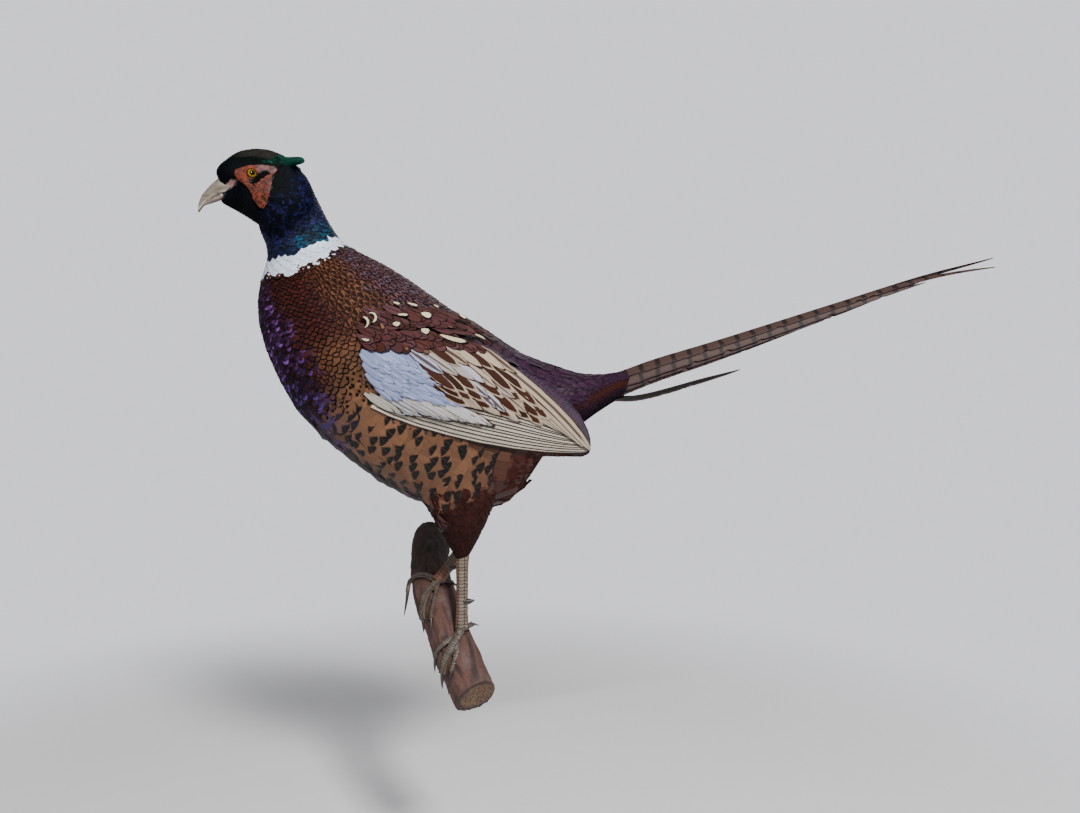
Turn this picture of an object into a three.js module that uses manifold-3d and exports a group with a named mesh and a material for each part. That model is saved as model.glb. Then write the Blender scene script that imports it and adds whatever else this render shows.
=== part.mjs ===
// A cock ring-necked pheasant, mounted life-size on a short bent branch that hangs on a wall.
// Millimetres. +Z is up and the bill points towards -X. The wall is the plane Y = 0, and the bird
// stands clear of it on the -Y side, so that its left side faces -Y.
// The origin is the middle of the branch's flat sawn end, which meets the wall.
import * as THREE from "three";
import { mergeVertices } from "three/addons/utils/BufferGeometryUtils.js";
import Module from "manifold-3d";

const wasm = await Module();
wasm.setup();

// ---- driving dimensions -------------------------------------------------------------------

const GAP = 0.3; // between touching pieces
const CUT_REACH = 1500; // half the size of a box that stands for a half-space
const MID_Y = -119; // the bird's middle plane at X = 0
const MID_SLOPE = 0.02; // how far the middle plane leans from the wall along X
const HEAD_YAW = THREE.MathUtils.degToRad(22); // the head looks a little away from the wall
const HEAD_PIVOT = new THREE.Vector3(-88, -138, 0);
const LEFT = -1; // the side that faces -Y
const RIGHT = 1;
const SIDES = [["left", LEFT], ["right", RIGHT]];
const BODY_AROUND = 18;
const BODY_ALONG = 24;
const FULL_SECTION = 2.25; // exponent of the trunk's rounded section; 2 is a plain ellipse

const middleY = (x) => MID_Y + MID_SLOPE * x;

// Each station of a loft is a section of the body. low and high are the ends of its height, as
// [x, z], half is half its width, y its middle and yaw how far it is turned about Z.
const BODY_STATIONS = [
  { low: [-126, 322], high: [-93, 347], half: 12, y: -142, yaw: 0.38 },
  { low: [-133, 303], high: [-88, 334.5], half: 19, y: -137, yaw: 0.33 },
  { low: [-128, 287], high: [-78, 312.6], half: 21.5, y: -131, yaw: 0.22 },
  { low: [-128, 271], high: [-67, 294.4], half: 25, y: -126, yaw: 0.1 },
  { low: [-134, 257], high: [-54, 284], half: 32, y: -122.5, yaw: 0.04 },
  { low: [-138, 232], high: [-24, 269], half: 45, y: -120.5, yaw: 0.02 },
  { low: [-134, 203], high: [6, 250], half: 55, y: -120, yaw: 0.02 },
  { low: [-120, 167], high: [33, 230.5], half: 61, y: -119.8, yaw: 0.02 },
  { low: [-97, 129], high: [60, 216], half: 64, y: -119.5, yaw: 0.02 },
  { low: [-62, 99], high: [82, 200.5], half: 63, y: -119, yaw: 0.02 },
  { low: [-25, 71], high: [101, 189], half: 59, y: -118, yaw: 0.02 },
  { low: [15, 52], high: [121, 181.5], half: 53, y: -117.5, yaw: 0.02 },
  { low: [60, 47], high: [137, 176], half: 45, y: -117, yaw: 0.02 },
  { low: [93, 61], high: [151, 172], half: 36, y: -116.5, yaw: 0.02 },
  { low: [111, 92], high: [162, 171], half: 27, y: -116, yaw: 0.02 },
  { low: [146, 122], high: [174, 171], half: 19, y: -115.8, yaw: 0.02 },
  { low: [174, 142], high: [187, 173], half: 12.5, y: -115.5, yaw: 0.02 },
  { low: [190, 151], high: [198, 173.5], half: 8, y: -115.2, yaw: 0.02 },
];
// The head's stations are in its own frame: x along the head with the bill at -x, from HEAD_PIVOT.
const HEAD_STATIONS = [
  { low: [-76, 318.5], high: [-74.5, 335], half: 6 },
  { low: [-73, 314.5], high: [-74.5, 343], half: 9.4 },
  { low: [-66, 311], high: [-69.5, 349.6], half: 13 },
  { low: [-56, 306], high: [-59, 357.6], half: 16 },
  { low: [-46, 300], high: [-46.5, 361.6], half: 17.8 },
  { low: [-36, 294], high: [-34, 361.8], half: 18.6 },
  { low: [-24, 292], high: [-22, 358], half: 18.4 },
  { low: [-11, 297], high: [-10.5, 351], half: 16.5 },
  { low: [-3, 306], high: [-1.5, 340], half: 12 },
  { low: [1.5, 315], high: [2.5, 331], half: 6 },
];
const UPPER_BILL_STATIONS = [
  { low: [-62, 324.5], high: [-67, 338.5], half: 7.8 },
  { low: [-69, 321.2], high: [-75.4, 334.7], half: 7 },
  { low: [-76, 316.8], high: [-81.6, 326.8], half: 5.6 },
  { low: [-82.5, 312.2], high: [-87, 320.2], half: 4.1 },
  { low: [-87, 308.4], high: [-90, 313.8], half: 2.4 },
  { low: [-90.6, 304.6], high: [-91.2, 306.6], half: 0.8 },
];
const LOWER_BILL_STATIONS = [
  { low: [-62, 315.5], high: [-61.5, 323.4], half: 6.8 },
  { low: [-69.4, 314.6], high: [-68.4, 320], half: 5.8 },
  { low: [-76, 312.2], high: [-74.8, 316], half: 4.2 },
  { low: [-81.6, 309.8], high: [-80.8, 312.2], half: 2.6 },
  { low: [-84.6, 308.4], high: [-84.2, 309.4], half: 1.3 },
];
// The bare red skin round the eye, as [x, z] in the head's frame.
const FACE_OUTLINE = [
  [-63, 335], [-59.5, 341.5], [-50, 344.6], [-41, 345.7], [-30, 345.4], [-29.4, 341],
  [-33.4, 337], [-33.4, 331], [-36.2, 319], [-39, 310], [-43, 309.6], [-48.4, 316],
  [-52.6, 325.5], [-58.7, 329.8],
];
const FACE_THICKNESS = 1.4;
const FACE_REACH = 40; // past the side of the head
const EYE_LID_RADIUS = 4.2; // of the round opening that the eye shows through
const EYE = { x: -49.9, z: 337.2, radius: 5.6, side: 12.9 };
// The small horn of feathers behind the crown.
const TUFT_STATIONS = [
  { low: [-30, 347.5], high: [-29, 357], half: 3 },
  { low: [-21, 349], high: [-20, 355.6], half: 4.2 },
  { low: [-12.5, 349.4], high: [-12, 357.2], half: 4 },
  { low: [-6.6, 350.2], high: [-6, 356.2], half: 2.2 },
];
const TUFT_SIDE = 12.5;

// A folded wing's sections: out is how far its middle lies from the bird's middle plane.
const WING_STATIONS = [
  { low: [-48, 174], high: [-42, 193], half: 7, out: 51 },
  { low: [-38, 152], high: [-24, 206], half: 16, out: 49.5 },
  { low: [-18, 130], high: [3, 213], half: 23, out: 47 },
  { low: [14, 117], high: [42, 206], half: 26, out: 45 },
  { low: [47, 109.5], high: [70, 193], half: 25, out: 42 },
  { low: [82, 102.5], high: [98, 177], half: 21, out: 37.5 },
  { low: [111, 98.5], high: [124, 161], half: 15, out: 34 },
  { low: [136, 97.5], high: [144, 143], half: 9, out: 32.5 },
  { low: [151, 97.5], high: [156, 124], half: 4.5, out: 32 },
  { low: [157, 99], high: [159.5, 110], half: 1.6, out: 31.5 },
];
// The flight feathers lie below the line from the wrist to the wing's rear end.
const QUILL_LINE = { from: [-20, 138], to: [158, 116] };

const THIGH_STATIONS = {
  left: [
    { low: [4, 78], high: [84, 84], half: 24, y: -140, yaw: 0 },
    { low: [16, 50], high: [76, 60], half: 20, y: -141, yaw: 0 },
    { low: [27, 31], high: [69, 43], half: 15, y: -139, yaw: 0 },
    { low: [35.5, 16], high: [60, 25], half: 10, y: -136, yaw: 0 },
    { low: [40, 6.5], high: [52, 10.5], half: 6, y: -134, yaw: 0 },
  ],
  right: [
    { low: [2, 80], high: [84, 88], half: 24, y: -97, yaw: 0 },
    { low: [14, 54], high: [76, 66], half: 19, y: -96, yaw: 0 },
    { low: [26, 36], high: [68, 46], half: 14, y: -97, yaw: 0 },
    { low: [35, 22], high: [57, 29], half: 9, y: -99, yaw: 0 },
    { low: [37.5, 12], high: [49, 15], half: 5.5, y: -100, yaw: 0 },
  ],
};
const SHANK_RADIUS = 5.2; // front to back
const SHANK_FLATNESS = 0.74; // its width, as a share of that
const HEEL_RADIUS = 5.9;
const ANKLE_RADIUS = 6.2;
const SPUR = { at: 0.6, length: 5.5, radius: 3.8 };

// The branch's middle line and radius, from inside the wall's plane to the sawn free end.
const BRANCH_LINE = [
  { at: [0.6, 14, 5], radius: 20.5 },
  { at: [0, 0, 0], radius: 20 },
  { at: [5, -45, -19], radius: 18.8 },
  { at: [16, -92, -40], radius: 18.4 },
  { at: [30, -118, -61], radius: 18.4 },
  { at: [45, -136, -84], radius: 18.8 },
  { at: [59, -151, -110], radius: 19.4 },
  { at: [69, -162, -130], radius: 19.4 },
];
const BRANCH_AROUND = 15;
const BRANCH_ALONG = 15;
// The free end is sawn obliquely through this point, square to this direction.
const SAWN_END = { at: [58.5, -151, -110], facing: [0.45, -0.66, -0.6] };
// Swellings: at runs 0 to 1 along the branch, turn is the angle round it from straight up.
const BRANCH_KNOTS = [
  { at: 0.46, turn: -0.9, height: 3.4, spread: 0.09 },
  { at: 0.68, turn: 1.9, height: 2.6, spread: 0.07 },
  { at: 0.3, turn: 2.6, height: 2.2, spread: 0.1 },
];

// Where each foot stands on the branch, and the way each toe runs from there. A step is [along,
// turn] on the branch, with a third number for a height over the bark. Each claw bends from the
// toe's own direction to its aim.
const TOE_TIP_SHARE = 0.72;
const CLAW_SHARE = 0.58; // of the toe's radius
const CLAW_TIP_RADIUS = 0.5;
const FEET = {
  left: {
    heel: [45.6, -134, 7],
    ankle: { at: 0.637, turn: 0.1 },
    toes: {
      outer: {
        radius: 2.3,
        steps: [[0.667, 0.37], [0.698, 0.61], [0.73, 0.93], [0.752, 1.22]],
        claw: { length: 19, aim: [0.05, -0.1, -1] },
      },
      middle: {
        radius: 3.7,
        steps: [[0.662, 0.5], [0.688, 0.9], [0.715, 1.25], [0.74, 1.62]],
        claw: { length: 13, aim: [0.1, 0.1, -1] },
      },
      inner: {
        radius: 2.9,
        steps: [[0.645, 0.48], [0.652, 0.99], [0.655, 1.4], [0.668, 1.75]],
        claw: { length: 14, aim: [0.12, 0.1, -1] },
      },
      hind: {
        radius: 2.7,
        steps: [[0.625, -0.3, 1.5], [0.608, -0.75, 2.2]],
        claw: { length: 10, aim: [1, 0, -0.45] },
      },
    },
  },
  right: {
    heel: [43.5, -100, 12],
    ankle: { at: 0.427, turn: -0.05 },
    toes: {
      inner: {
        radius: 2.3,
        steps: [[0.455, 0.15], [0.49, 0.47], [0.52, 0.77], [0.545, 0.97]],
        claw: { length: 17, aim: [0.15, -0.2, -1] },
      },
      middle: {
        radius: 3.4,
        steps: [[0.443, 0.3], [0.463, 0.72], [0.492, 1.06], [0.525, 1.33]],
        claw: { length: 11, aim: [0.1, -0.1, -1] },
      },
      outer: {
        radius: 2.9,
        steps: [[0.412, 0.1], [0.385, 0.5], [0.368, 1.0], [0.36, 1.5, 1], [0.372, 1.75, 2.5]],
        claw: { length: 23, aim: [-0.2, 0, -1] },
      },
      hind: {
        radius: 2.7,
        steps: [[0.418, -0.45, 1.5], [0.41, -0.9, 1]],
        claw: { length: 9, aim: [0.8, 0.2, -0.6] },
      },
    },
  },
};

// The tail's ridge as [x, z], and its shape: a steep roof that narrows towards the tips.
const TAIL_RIDGE = [
  [150, 164], [185, 173.5], [221, 185.8], [275, 202], [338, 221.8], [387, 237.3], [465, 262], [531, 279],
];
const TAIL_ROOT_X = 166;
const TAIL_LENGTH = 365;
// Half of its section, as [across, up] from the ridge.
const TAIL_ROOF = [[0, 0], [4.5, -4], [8, -11], [10, -20], [10.5, -30]];
const TAIL_NARROWING = { from: 190, over: 280, by: 0.45 };
// The left half sags below the ridge's line towards the tip.
const TAIL_DROOP = { left: 9, right: 0 };
// Each pair lies under the one before. from and width are distances down the roof at its root, and
// shaft is the place of the shaft across the vane.
const TAIL_PAIRS = [
  { name: "central", tipX: 531, from: 0, width: 12.5, shaft: 0.15 },
  { name: "second", tipX: 466, from: 5.5, width: 15, shaft: 0.4 },
  { name: "third", tipX: 420, from: 9, width: 15, shaft: 0.4 },
  { name: "fourth", tipX: 366, from: 12.5, width: 14, shaft: 0.4 },
];
// The short outermost pair hangs clear of the rest, along a line of its own.
const OUTER_TAIL = { line: [[158, 156], [190, 152], [215, 155], [262, 168], [296, 177]], width: 8 };
const TAIL_LAYER = 1.5; // from one feather to the next under it
const QUILL_THICKNESS = 0.9;
const VANE_EDGE_THICKNESS = 0.55;
const TAIL_ALONG = 7;

// ---- building blocks ----------------------------------------------------------------------

// A closed surface through rings of equal length, capped at both ends.
function skin(rings) {
  const count = rings[0].length;
  const middles = [rings[0], rings.at(-1)].map((ring) =>
    ring.reduce((sum, p) => sum.add(p), new THREE.Vector3()).divideScalar(count),
  );
  const points = [...rings.flat(), ...middles];
  const index = [];
  const corner = (ring, k) => ring * count + (k % count);
  for (let ring = 0; ring + 1 < rings.length; ring++)
    for (let k = 0; k < count; k++) {
      const [a, b] = [corner(ring, k), corner(ring, k + 1)];
      const [c, d] = [corner(ring + 1, k), corner(ring + 1, k + 1)];
      index.push(a, c, b, b, c, d);
    }
  const last = rings.length - 1;
  for (let k = 0; k < count; k++) {
    index.push(rings.length * count, corner(0, k), corner(0, k + 1));
    index.push(rings.length * count + 1, corner(last, k + 1), corner(last, k));
  }
  return new THREE.BufferGeometry().setFromPoints(points).setIndex(index);
}

// A geometry as a manifold-3d solid, with its faces turned outwards.
function solid(geometry) {
  const bare = geometry.clone();
  bare.deleteAttribute("normal");
  bare.deleteAttribute("uv");
  const merged = mergeVertices(bare, 1e-4);
  const build = (triVerts) =>
    new wasm.Manifold(
      new wasm.Mesh({ numProp: 3, vertProperties: merged.attributes.position.array, triVerts }),
    );
  const corners = new Uint32Array(merged.index.array);
  const made = build(corners);
  if (made.volume() > 0) return made;
  for (let i = 0; i < corners.length; i += 3)
    [corners[i + 1], corners[i + 2]] = [corners[i + 2], corners[i + 1]];
  return build(corners);
}

function geometryOf(manifold) {
  const mesh = manifold.getMesh();
  const position = new Float32Array(mesh.numVert * 3);
  for (let i = 0; i < mesh.numVert; i++)
    position.set(mesh.vertProperties.subarray(i * mesh.numProp, i * mesh.numProp + 3), i * 3);
  return new THREE.BufferGeometry()
    .setAttribute("position", new THREE.BufferAttribute(position, 3))
    .setIndex(new THREE.BufferAttribute(mesh.triVerts, 1));
}

// The biggest of the bodies that cutting left.
const largest = (manifold) =>
  manifold.decompose().reduce((a, b) => (a.volume() > b.volume() ? a : b));

const without = (manifold, ...others) =>
  largest(others.reduce((left, other) => left.subtract(other), manifold));

// The half-space on the side of a plane that its normal points to.
function halfSpace(point, normal) {
  const box = new THREE.BoxGeometry(2 * CUT_REACH, 2 * CUT_REACH, 2 * CUT_REACH);
  const turn = new THREE.Quaternion().setFromUnitVectors(
    new THREE.Vector3(0, 0, 1),
    normal.clone().normalize(),
  );
  box.translate(0, 0, CUT_REACH).applyQuaternion(turn).translate(point.x, point.y, point.z);
  return solid(box);
}

// Parts a solid along a plane into [behind, ahead] of its normal, GAP apart.
function parted(manifold, point, normal) {
  const n = normal.clone().normalize();
  const step = n.clone().multiplyScalar(GAP / 2);
  const ahead = halfSpace(point.clone().add(step), n);
  const behind = halfSpace(point.clone().sub(step), n.clone().negate());
  return [manifold.intersect(behind), manifold.intersect(ahead)].map(largest);
}

// A smooth line through points, as a function of 0 to 1 that meets point i at i / (count - 1).
function through(points) {
  const line = new THREE.CatmullRomCurve3(points, false, "catmullrom", 0.5);
  return (t) => line.getPoint(Math.min(Math.max(t, 0), 1));
}

const rounded = (value, exponent) => Math.sign(value) * Math.abs(value) ** (2 / exponent);

// Rings of a body from stations of low, high, half, y and yaw, all grown by the same depth.
function sections(stations, { along, around, exponent = 2, grow = 0 }) {
  const line = (pick) => through(stations.map(pick));
  const low = line((s) => new THREE.Vector3(s.low[0], 0, s.low[1]));
  const high = line((s) => new THREE.Vector3(s.high[0], 0, s.high[1]));
  const rest = line((s) => new THREE.Vector3(s.half, s.y ?? 0, s.yaw ?? 0));
  const rings = [];
  for (let i = 0; i <= along; i++) {
    const [bottom, top] = [low(i / along), high(i / along)];
    const { x: half, y, z: yaw } = rest(i / along);
    const up = top.clone().sub(bottom).divideScalar(2);
    const middle = bottom.clone().add(up).setY(y);
    up.setY(up.x * Math.tan(yaw));
    up.setLength(up.length() + grow);
    const side = new THREE.Vector3(-Math.sin(yaw), Math.cos(yaw), 0).multiplyScalar(half + grow);
    const ring = [];
    for (let k = 0; k < around; k++) {
      const turn = (2 * Math.PI * k) / around;
      ring.push(
        middle
          .clone()
          .addScaledVector(up, rounded(Math.cos(turn), exponent))
          .addScaledVector(side, rounded(Math.sin(turn), exponent)),
      );
    }
    rings.push(ring);
  }
  return stretched(rings, grow);
}

// Moves the end rings of a body outwards along it.
function stretched(rings, reach) {
  const middleOf = (ring) =>
    ring.reduce((sum, p) => sum.add(p), new THREE.Vector3()).divideScalar(ring.length);
  const push = (ring, inner) => {
    const step = middleOf(ring).sub(middleOf(inner)).setLength(reach);
    return ring.map((p) => p.clone().add(step));
  };
  return [push(rings[0], rings[1]), ...rings.slice(1, -1), push(rings.at(-1), rings.at(-2))];
}

const headFrame = new THREE.Matrix4()
  .makeRotationZ(HEAD_YAW)
  .setPosition(HEAD_PIVOT.x, HEAD_PIVOT.y, 0);
const onHead = (rings) => solid(skin(rings).applyMatrix4(headFrame));

// A tapering tube along a function of 0 to 1, with radius another such function. flatness is its
// width along Y as a share of that.
function tube(path, radius, { steps, around, flatness = 1, grow = 0 }) {
  const rings = [];
  let across = new THREE.Vector3(0.31, 0.53, 0.79);
  for (let i = 0; i <= steps; i++) {
    const t = i / steps;
    const ahead = path(Math.min(t + 0.01, 1)).sub(path(Math.max(t - 0.01, 0))).normalize();
    across = across.clone().addScaledVector(ahead, -across.dot(ahead)).normalize();
    const third = ahead.clone().cross(across);
    const middle = path(t);
    const ring = [];
    for (let k = 0; k < around; k++) {
      const turn = (2 * Math.PI * k) / around;
      const out = across.clone().multiplyScalar(Math.cos(turn)).addScaledVector(third, Math.sin(turn));
      const offset = out.clone().multiplyScalar(radius(t));
      offset.y *= flatness;
      ring.push(middle.clone().add(offset).addScaledVector(out, grow));
    }
    rings.push(ring);
  }
  return solid(skin(stretched(rings, grow)));
}

// ---- the branch ---------------------------------------------------------------------------

const branchAt = through(BRANCH_LINE.map((p) => new THREE.Vector3(...p.at)));
const branchRadius = through(BRANCH_LINE.map((p) => new THREE.Vector3(p.radius, 0, 0)));

// The branch's own directions at a place along it: ahead, up as far as it can be, and across.
function branchAxes(t) {
  const ahead = branchAt(t + 0.01).sub(branchAt(t - 0.01)).normalize();
  const up = new THREE.Vector3(0, 0, 1);
  up.addScaledVector(ahead, -up.dot(ahead)).normalize();
  return { up, across: ahead.clone().cross(up) };
}

// A point over the branch, turn radians round it from its top, at a height above its bark.
function overBranch(t, turn, height) {
  const { up, across } = branchAxes(t);
  const reach = branchRadius(t).x + height;
  return branchAt(t)
    .addScaledVector(up, Math.cos(turn) * reach)
    .addScaledVector(across, Math.sin(turn) * reach);
}

function knotHeight(t, turn) {
  return BRANCH_KNOTS.reduce((sum, knot) => {
    const round = Math.atan2(Math.sin(turn - knot.turn), Math.cos(turn - knot.turn));
    const apart = ((t - knot.at) / knot.spread) ** 2 + (round / 0.75) ** 2;
    return sum + knot.height * Math.exp(-apart);
  }, 0);
}

function makeBranch(grow) {
  const rings = [];
  for (let i = 0; i <= BRANCH_ALONG; i++) {
    const t = i / BRANCH_ALONG;
    const ring = [];
    for (let k = 0; k < BRANCH_AROUND; k++) {
      const turn = (2 * Math.PI * k) / BRANCH_AROUND;
      const waves = 0.7 * Math.sin(3 * turn + 9 * t) + 0.5 * Math.sin(5 * turn - 14 * t);
      ring.push(overBranch(t, turn, waves + knotHeight(t, turn) + grow));
    }
    rings.push(ring);
  }
  const wallSide = halfSpace(new THREE.Vector3(0, 0, 0), new THREE.Vector3(0, -1, 0));
  const facing = new THREE.Vector3(...SAWN_END.facing).negate();
  const kept = halfSpace(new THREE.Vector3(...SAWN_END.at), facing);
  return solid(skin(rings)).intersect(wallSide).intersect(kept);
}

// ---- the bird -----------------------------------------------------------------------------

const bodySize = { along: BODY_ALONG, around: BODY_AROUND, exponent: FULL_SECTION };
const billSize = { along: 6, around: 9 };
const headSize = { along: 11, around: 14 };

const bodyLoft = (grow) => solid(skin(sections(BODY_STATIONS, { ...bodySize, grow })));
const headLoft = (grow) => onHead(sections(HEAD_STATIONS, { ...headSize, grow }));

function eyeball(side, grow) {
  const ball = new THREE.SphereGeometry(EYE.radius + grow, 12, 7);
  ball.rotateX(-side * Math.PI / 2).translate(EYE.x, side * EYE.side, EYE.z);
  return solid(ball.applyMatrix4(headFrame));
}

// The red skin: the stretch of a slightly larger head inside the outline.
function facePatch(side) {
  const outline = new THREE.Shape().setFromPoints(
    new THREE.SplineCurve(
      [...FACE_OUTLINE, FACE_OUTLINE[0]].map(([x, z]) => new THREE.Vector2(x, z)),
    ).getPoints(18).slice(0, -1),
  );
  const slab = new THREE.ExtrudeGeometry(outline, { depth: FACE_REACH, bevelEnabled: false });
  // The outline's plane becomes XZ, which sends the extrusion towards -Y.
  slab.rotateX(Math.PI / 2);
  if (side === RIGHT) slab.translate(0, FACE_REACH, 0);
  const lids = new THREE.CylinderGeometry(EYE_LID_RADIUS, EYE_LID_RADIUS, FACE_REACH, 9);
  lids.translate(EYE.x, side * (EYE.side + FACE_REACH / 2), EYE.z);
  return solid(slab.applyMatrix4(headFrame))
    .intersect(headLoft(GAP + FACE_THICKNESS))
    .subtract(solid(lids.applyMatrix4(headFrame)));
}

function tuft(side) {
  const splay = (station, i) => ({ ...station, y: side * (TUFT_SIDE + 0.8 * i) });
  return onHead(sections(TUFT_STATIONS.map(splay), { along: 4, around: 7 }));
}

function wing(side) {
  const placed = WING_STATIONS.map((station) => ({
    ...station,
    y: middleY((station.low[0] + station.high[0]) / 2) + side * station.out,
    yaw: MID_SLOPE,
  }));
  return solid(skin(sections(placed, { along: 11, around: 12 })));
}

function thigh(name) {
  return solid(skin(sections(THIGH_STATIONS[name], { along: 5, around: 10 })));
}

// ---- legs and feet ------------------------------------------------------------------------

const shankLine = (foot) => {
  const ankle = overBranch(foot.ankle.at, foot.ankle.turn, ANKLE_RADIUS - 1);
  return (t) => new THREE.Vector3(...foot.heel).lerp(ankle, t);
};

// Slim in the middle, with the heel joint above and the ball of the foot below.
const shankRadius = (t) =>
  SHANK_RADIUS +
  (HEEL_RADIUS - SHANK_RADIUS) * Math.exp(-((t / 0.16) ** 2)) +
  (ANKLE_RADIUS - SHANK_RADIUS) * Math.exp(-(((t - 1) / 0.14) ** 2));

const shank = (foot, grow) =>
  tube(shankLine(foot), shankRadius, { steps: 7, around: 8, flatness: SHANK_FLATNESS, grow });

function spur(foot) {
  const start = shankLine(foot)(SPUR.at);
  const back = new THREE.Vector3(1, 0, -0.1).normalize();
  const path = (t) => start.clone().addScaledVector(back, t * (SHANK_RADIUS + SPUR.length));
  return tube(path, (t) => SPUR.radius * (1 - t) + 0.7 * t, { steps: 2, around: 7 });
}

// A toe's whole line over the bark, from the ball of the foot to its claw.
function toeLine(foot, toe) {
  const height = toe.radius - 0.4;
  const start = overBranch(foot.ankle.at, foot.ankle.turn, height + 0.8);
  const steps = toe.steps.map(([at, turn, more = 0]) => overBranch(at, turn, height + more));
  return new THREE.CatmullRomCurve3([start, ...steps]);
}

function toeSolid(foot, toe, grow) {
  const line = toeLine(foot, toe);
  const joints = Math.round(line.getLength() / 10);
  const radius = (t) =>
    toe.radius * (1 + (TOE_TIP_SHARE - 1) * t + 0.08 * Math.cos(2 * Math.PI * t * joints));
  return tube((t) => line.getPointAt(t), radius, { steps: 6, around: 6, grow });
}

function clawSolid(foot, toe, grow = 0) {
  const line = toeLine(foot, toe);
  const { length, aim } = toe.claw;
  const start = line.getPointAt(1).addScaledVector(line.getTangentAt(1), GAP);
  const bend = start.clone().addScaledVector(line.getTangentAt(1), length * 0.45);
  const tip = bend.clone().addScaledVector(new THREE.Vector3(...aim).normalize(), length * 0.55);
  const curve = new THREE.QuadraticBezierCurve3(start, bend, tip);
  const radius = (t) => toe.radius * CLAW_SHARE * (1 - t) + CLAW_TIP_RADIUS * t;
  return tube((t) => curve.getPointAt(t), radius, { steps: 3, around: 5, grow });
}

// ---- the tail -----------------------------------------------------------------------------

// The height of a smooth line through [x, z] points at an x between its ends.
function heightAt(points, x) {
  const line = through(points.map(([px, pz]) => new THREE.Vector3(px, 0, pz)));
  let [low, high] = [0, 1];
  for (let step = 0; step < 24; step++) {
    const middle = (low + high) / 2;
    if (line(middle).x < x) low = middle;
    else high = middle;
  }
  return line(low).z;
}

const roofHalf = new THREE.SplineCurve(TAIL_ROOF.map(([y, z]) => new THREE.Vector2(y, z)));

// A thin vane between two edges that lie at distances a and b down a side of the roof.
function vaneRing(x, ridge, side, a, b, depth) {
  const top = new THREE.Vector3(x, middleY(x) + side * (0.4 + GAP), ridge);
  // Over from the upper edge to the lower one, then back under.
  return [0, 0.3, 0.65, 1, 1, 0.65, 0.3, 0].map((share, k) => {
    const rim = share === 0 || share === 1;
    const half = (rim ? VANE_EDGE_THICKNESS : QUILL_THICKNESS) / 2;
    const reach = a + (b - a) * share;
    const place = Math.max(reach, 0) / roofHalf.getLength();
    const point = roofHalf.getPointAt(Math.min(place, 1));
    const along = roofHalf.getTangentAt(Math.min(place, 1));
    const inward = depth + (k < 4 ? -half : half);
    // Inward is the way down turned a quarter back to the middle plane.
    point.x += along.y * inward;
    point.y -= along.x * inward;
    return top.clone().add(new THREE.Vector3(0, side * Math.max(point.x, 0), point.y));
  });
}

function tailFeather(pair, layer, sideName, side) {
  const rings = [];
  for (let i = 0; i <= TAIL_ALONG; i++) {
    const t = i / TAIL_ALONG;
    const x = TAIL_ROOT_X + (pair.tipX - TAIL_ROOT_X) * t;
    const far = Math.max(0, (x - TAIL_NARROWING.from) / TAIL_NARROWING.over);
    const narrow = 1 - TAIL_NARROWING.by * Math.min(1, far) ** 0.8;
    const taper = Math.max((1 - t ** 5) ** 0.7, 0.12) * (0.35 + 0.65 * Math.min(1, t / 0.12));
    const shaft = (pair.from + pair.width * pair.shaft) * narrow;
    const width = pair.width * narrow * taper;
    const a = shaft - width * pair.shaft;
    const droop = TAIL_DROOP[sideName] * ((x - TAIL_ROOT_X) / TAIL_LENGTH) ** 7;
    const ridge = heightAt(TAIL_RIDGE, x) - droop;
    rings.push(vaneRing(x, ridge, side, a, a + width, layer * TAIL_LAYER));
  }
  return solid(skin(rings));
}

function outerTailFeather(side) {
  const rings = [];
  const [start, end] = [OUTER_TAIL.line[0], OUTER_TAIL.line.at(-1)];
  for (let i = 0; i <= 8; i++) {
    const t = i / 8;
    const x = start[0] + (end[0] - start[0]) * t;
    const width = OUTER_TAIL.width * Math.max((1 - t ** 4) ** 0.7, 0.15);
    rings.push(vaneRing(x, heightAt(OUTER_TAIL.line, x), side, 0.5, width, 0));
  }
  return solid(skin(rings));
}

// ---- the assembly -------------------------------------------------------------------------

const finish = (color, roughness, metalness = 0) =>
  new THREE.MeshStandardMaterial({ color, roughness, metalness });
const materials = {
  head: finish(0x0d1a1c, 0.35, 0.3),
  body: finish(0x6b2f17, 0.6, 0.1),
  rump: finish(0x3a2226, 0.6, 0.1),
  wing: finish(0x8e9399, 0.7),
  quill: finish(0xb3a68e, 0.7),
  thigh: finish(0x5c4232, 0.8),
  face: finish(0xa83a22, 0.55),
  bill: finish(0xa79c8d, 0.45),
  eye: finish(0x6e4a12, 0.08),
  leg: finish(0x7a6a55, 0.6),
  claw: finish(0x2e2620, 0.4),
  tail: finish(0x6b5546, 0.65),
  bark: finish(0x5b4038, 0.85),
};

const pheasant = new THREE.Group();
function place(name, manifold, material) {
  const mesh = new THREE.Mesh(geometryOf(manifold), material);
  mesh.name = name;
  pheasant.add(mesh);
}

const branch = makeBranch(0);
const branchRoom = makeBranch(GAP);
place("branch", branch, materials.bark);

// The bird's flesh is modelled whole, then parted by thin cuts.
const eyeRoom = [eyeball(LEFT, GAP), eyeball(RIGHT, GAP)];
const wholeBody = bodyLoft(0).add(headLoft(0));
const bodyRoom = bodyLoft(GAP).add(headLoft(GAP));
const cuts = {
  throat: [new THREE.Vector3(-108, -136, 309), new THREE.Vector3(-0.42, -0.17, 0.89)],
  collar: [new THREE.Vector3(-95, -122, 266), new THREE.Vector3(-0.34, 0, 0.94)],
  rump: [new THREE.Vector3(118, -117, 130), new THREE.Vector3(0.93, 0, 0.37)],
};
const [belowHead, headWhole] = parted(wholeBody, ...cuts.throat);
const [belowNeck, neck] = parted(belowHead, ...cuts.collar);
const [trunk, rump] = parted(belowNeck, ...cuts.rump);

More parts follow.
